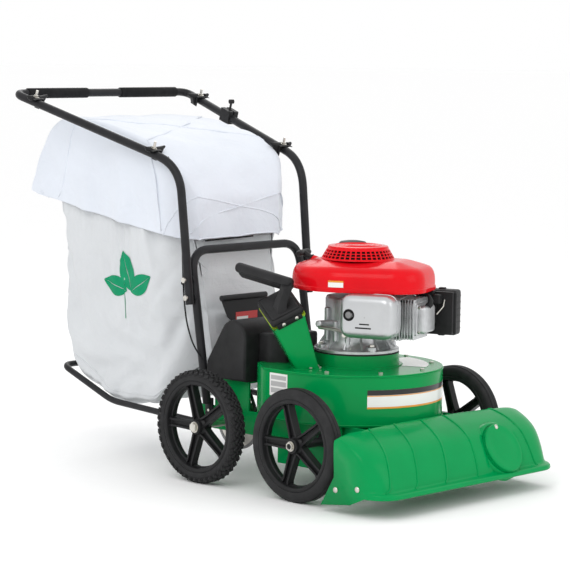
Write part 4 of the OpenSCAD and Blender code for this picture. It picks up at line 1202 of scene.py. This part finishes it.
MOUTH = turned((-227, AXLE_Y - 206, 511), x=25.5, y=-27.5, z=-37)
CHUTE_FOOT = turned((-177, AXLE_Y - 254, PLATE_TOP), z=-37)


def oblong(place, x, y, z=0.0, corner=8):
    """A rounded rectangle of half sizes x and y, laid out in a turned place."""
    return [place @ Vector((*p, z)) for p in rounded(rect(-x, -y, x, y), corner, 4)]


def chute():
    shape = Shape().paint(GREEN)
    low, top = oblong(CHUTE_FOOT, 34, 36), oblong(MOUTH, 50, 62)
    inner, deep = oblong(MOUTH, 47, 59, corner=6), oblong(CHUTE_FOOT, 31, 33, corner=6)
    flange = oblong(CHUTE_FOOT, 39, 42, 1.6)
    rows = [oblong(CHUTE_FOOT, 39, 42), flange, [p + Vector((0, 0, 1.8)) for p in low]]
    rows += [[a.lerp(b, t) for a, b in zip(low, top)] for t in (0.06, 0.35, 0.65, 1)]
    rows += [inner, [a.lerp(b, 0.55) for a, b in zip(inner, deep)]]
    shape.rows(rows, caps=False)
    # stamped ribs high on the front wall
    for x in (-30, -20, -10, 0):
        start = MOUTH @ Vector((x, -62, -12))
        down = start - CHUTE_FOOT @ Vector((x * 0.7, -36, 0))
        turn = down.to_track_quat("-Z", "Y").to_matrix().to_4x4()
        shape.rod(1.4, 0, 14, 10, Matrix.Translation(start) @ turn, edge=1)
    shape.paint(ZINC)
    for x, y in ((37, 8), (37, -30), (8, -40)):
        shape.rod(5, 1.4, 6, 6, CHUTE_FOOT @ Matrix.Translation((x, y, 0)))
    shape.make("chipper_chute_body", replaces=["chipper_chute"], slot="painted_green", sharp=38)

    edge = Shape(MOUTH).paint(TRIM)
    rows = []
    for a, b, z in ((46, 58, -3), (50.5, 62.5, -4), (52, 64, -2), (52, 64, 2.6), (50, 62, 4),
                    (46, 58, 4)):
        rows.append([(p.x, p.y, z - (8 * max(0, 1 - (p.x / 52) ** 4) if p.y < -56 else 0))
                     for p in map(Vector, smooth_ring(a, b))])
    edge.rows(rows, caps=False)
    edge.make("chute_edge_trim", replaces=["chute_trim"], slot="trim_yellow", sharp=40)

    plug = Shape(MOUTH).paint(PLASTIC)
    plug.slab((-52, -66, 4), (52, 64, 25), 9)
    plug.slab((-45, -57, 0.5), (45, 57, 6), 2, 2)
    plug.slab((-45, -59, 23), (45, 57, 29), 5)
    plug.slab((-38, -67.4, -7), (40, -64.8, 10), 1.2, 2)
    # the neck leans out to the bar
    plug.stack([(rounded(rect(*box), 6, 4), z) for box, z in (
        ((-22, -48, 12, 2), 26), ((-17, -44, 13, 0), 33), ((-6, -36, 24, 1), 46),
        ((9, -27, 40, 6), 57), ((22, -22, 53, 12), 68), ((28, -18, 56, 14), 76))])
    plug.place = MOUTH @ turned((48, 8, 75), x=-90, z=27)
    plug.lathe([(5, -17), (11, -16), (14, -13), (15, -9), (15, 194), (14.4, 200), (12, 203.6),
                (8, 205)], 40)
    plug.stack([(rounded([(-w, -4), (w, -4), (w * 0.8, d), (-w * 0.8, d)], 5, 4), z) for z, w, d in (
        (-13, 9, 16), (-9, 12.5, 24), (0, 13.6, 30), (150, 13.6, 30), (190, 13.6, 30),
        (198, 12, 25), (201, 9, 18))])
    for s in (-1, 1):
        plug.slab((s * 13.8 - 0.9, -2, -4), (s * 13.8 + 0.9, 2, 190), 0.8, 2)
    plug.paint(ZINC)
    for x in (-18, 23):
        plug.place = MOUTH @ turned((x, -67.4, 3), x=90)
        plug.lathe([(6, -1), (6, 0.8), (4.8, 2.6), (2.6, 3.5), (0, 3.7)], 28)
    plug.make("chipper_chute_plug", "chipper_plug", ["chipper_plug"], "black_plastic", sharp=38)


def smooth_ring(x, y):
    """A rounded rectangle whose straight sides carry points of their own."""
    line = rounded(rect(-x, -y, x, y), 8, 4)
    out = []
    for a, b in zip(line, line[1:] + line[:1]):
        n = max(1, int((b - a).length / 8))
        out += [(*a.lerp(b, k / n), 0.0) for k in range(n)]
    return out


def guard_line(t):
    """Side outline of the drive guard, in (y, z), drawn in by t."""
    crown = [(polar(52 - t, 180 - 9.25 * k) + Vector((-22, 416, 0)))[:2] for k in range(17)]
    return [(-74 + t, 290 + t), (-74 + t, 396), *crown, (87 - t, 338), (87 - t, 290 + t)]


def drive_cover():
    shape = Shape(ROW).paint(PLASTIC)
    shape.stack([(guard_line(t), x) for x, t in (
        (-101, 3), (-102, 0.8), (-104, 0), (-232, 0), (-236.5, 1.2), (-239, 3.6), (-240, 7),
        (-239.4, 9))], 0)
    shape.make("drive_guard_shell", slot="black_plastic", sharp=35)
    belt = Shape(ROW).paint(PLASTIC)
    line = rounded([(-186, -72), (-186, -118), (-150, -158), (-20, -158), (-20, -94), (-56, -94),
                    (-56, -76), (-72, -76), (-72, -10), (-102, -10), (-102, -72)], 10, 4)
    belt.stack([(inset(line, t), z) for t, z in (
        (0, 349.2), (0, 424), (0.9, 428), (3.2, 431), (6, 432))])
    belt.make("belt_cover_shell", replaces=["drive_guard"], slot="black_plastic", sharp=35)


def mouth_frame():
    """The plate that holds the bag's mouth, with the duct's opening in it."""
    plate = Shape(ROW).paint(BLACK)
    wing = [(-78, 326), (58, 326), (58, 440), (34, 508), (-156, 508), (-122, 440), (-78, 420)]
    x0, z0, x1, z1 = DUCT
    mid = Vector(((x0 + x1) / 2, (z0 + z1) / 2))
    line = sorted([Vector(p) for p in wing] + section(wing, 64),
                  key=lambda p: math.atan2(p.y - mid.y, p.x - mid.x))
    inside = []
    for p in line:
        d = (p - mid).normalized()
        reach = min((x1 - mid.x) / max(abs(d.x), 1e-9), (z1 - mid.y) / max(abs(d.y), 1e-9))
        inside.append(mid + d * reach)
    n = len(line)
    for y in (110, 113):
        plate.add([(p.x, y, p.y) for p in line + inside],
                  [[k, (k + 1) % n, n + (k + 1) % n, n + k] for k in range(n)])
    for side in (line, inside):
        plate.stack([(side, 110), (side, 113)], 1, caps=False)
    plate.tube([(x, 112, 513) for x in (-156, -155, -100, -20, 33, 34)],
               [8, 9, 9, 9, 9, 8], 24)
    for paint, y, label in ((LABEL_RED, 109.6, rect(-96, 440, -4, 468)),
                            (WHITE, 109.3, rect(-92, 443, -44, 454))):
        plate.paint(paint).patch(*((x, y, z) for x, z in label))
    plate.make("bag_mouth_frame", replaces=["bag_mouth_plate"], slot="black_paint", sharp=35)


def cables():
    shape = Shape().paint(FOAM)
    path = row([(-252, 246, 930), (-250, 196, 850), (-248, 176, 520), (-252, 140, 400),
                (-246, 96, 340)])
    shape.tube(smooth_line(path, 14), 2.4, 12)
    shape.paint(PLASTIC)
    for x, y, z in ((-249.4, 189, 760), (-248.4, 179, 560)):
        shape.tube([(x - 5, y + AXLE_Y, z), (x + 6, y + AXLE_Y, z)], 5, 12)
    shape.make("control_cable_sleeves", replaces=["control_cables"], slot="rubber_black", sharp=60)


camera()
paint_cad()
wheels()
nozzle()
housing()
handle()
hangers()
cloth = bag()
sheet = cover()
bag_extras(cloth, sheet)
shroud()
recoil()
crankcase()
cylinder_head()
muffler_guard()
air_cleaner()
linkage()
fuel_cap()
starter_grip()
chute()
drive_cover()
mouth_frame()
cables()
studio()
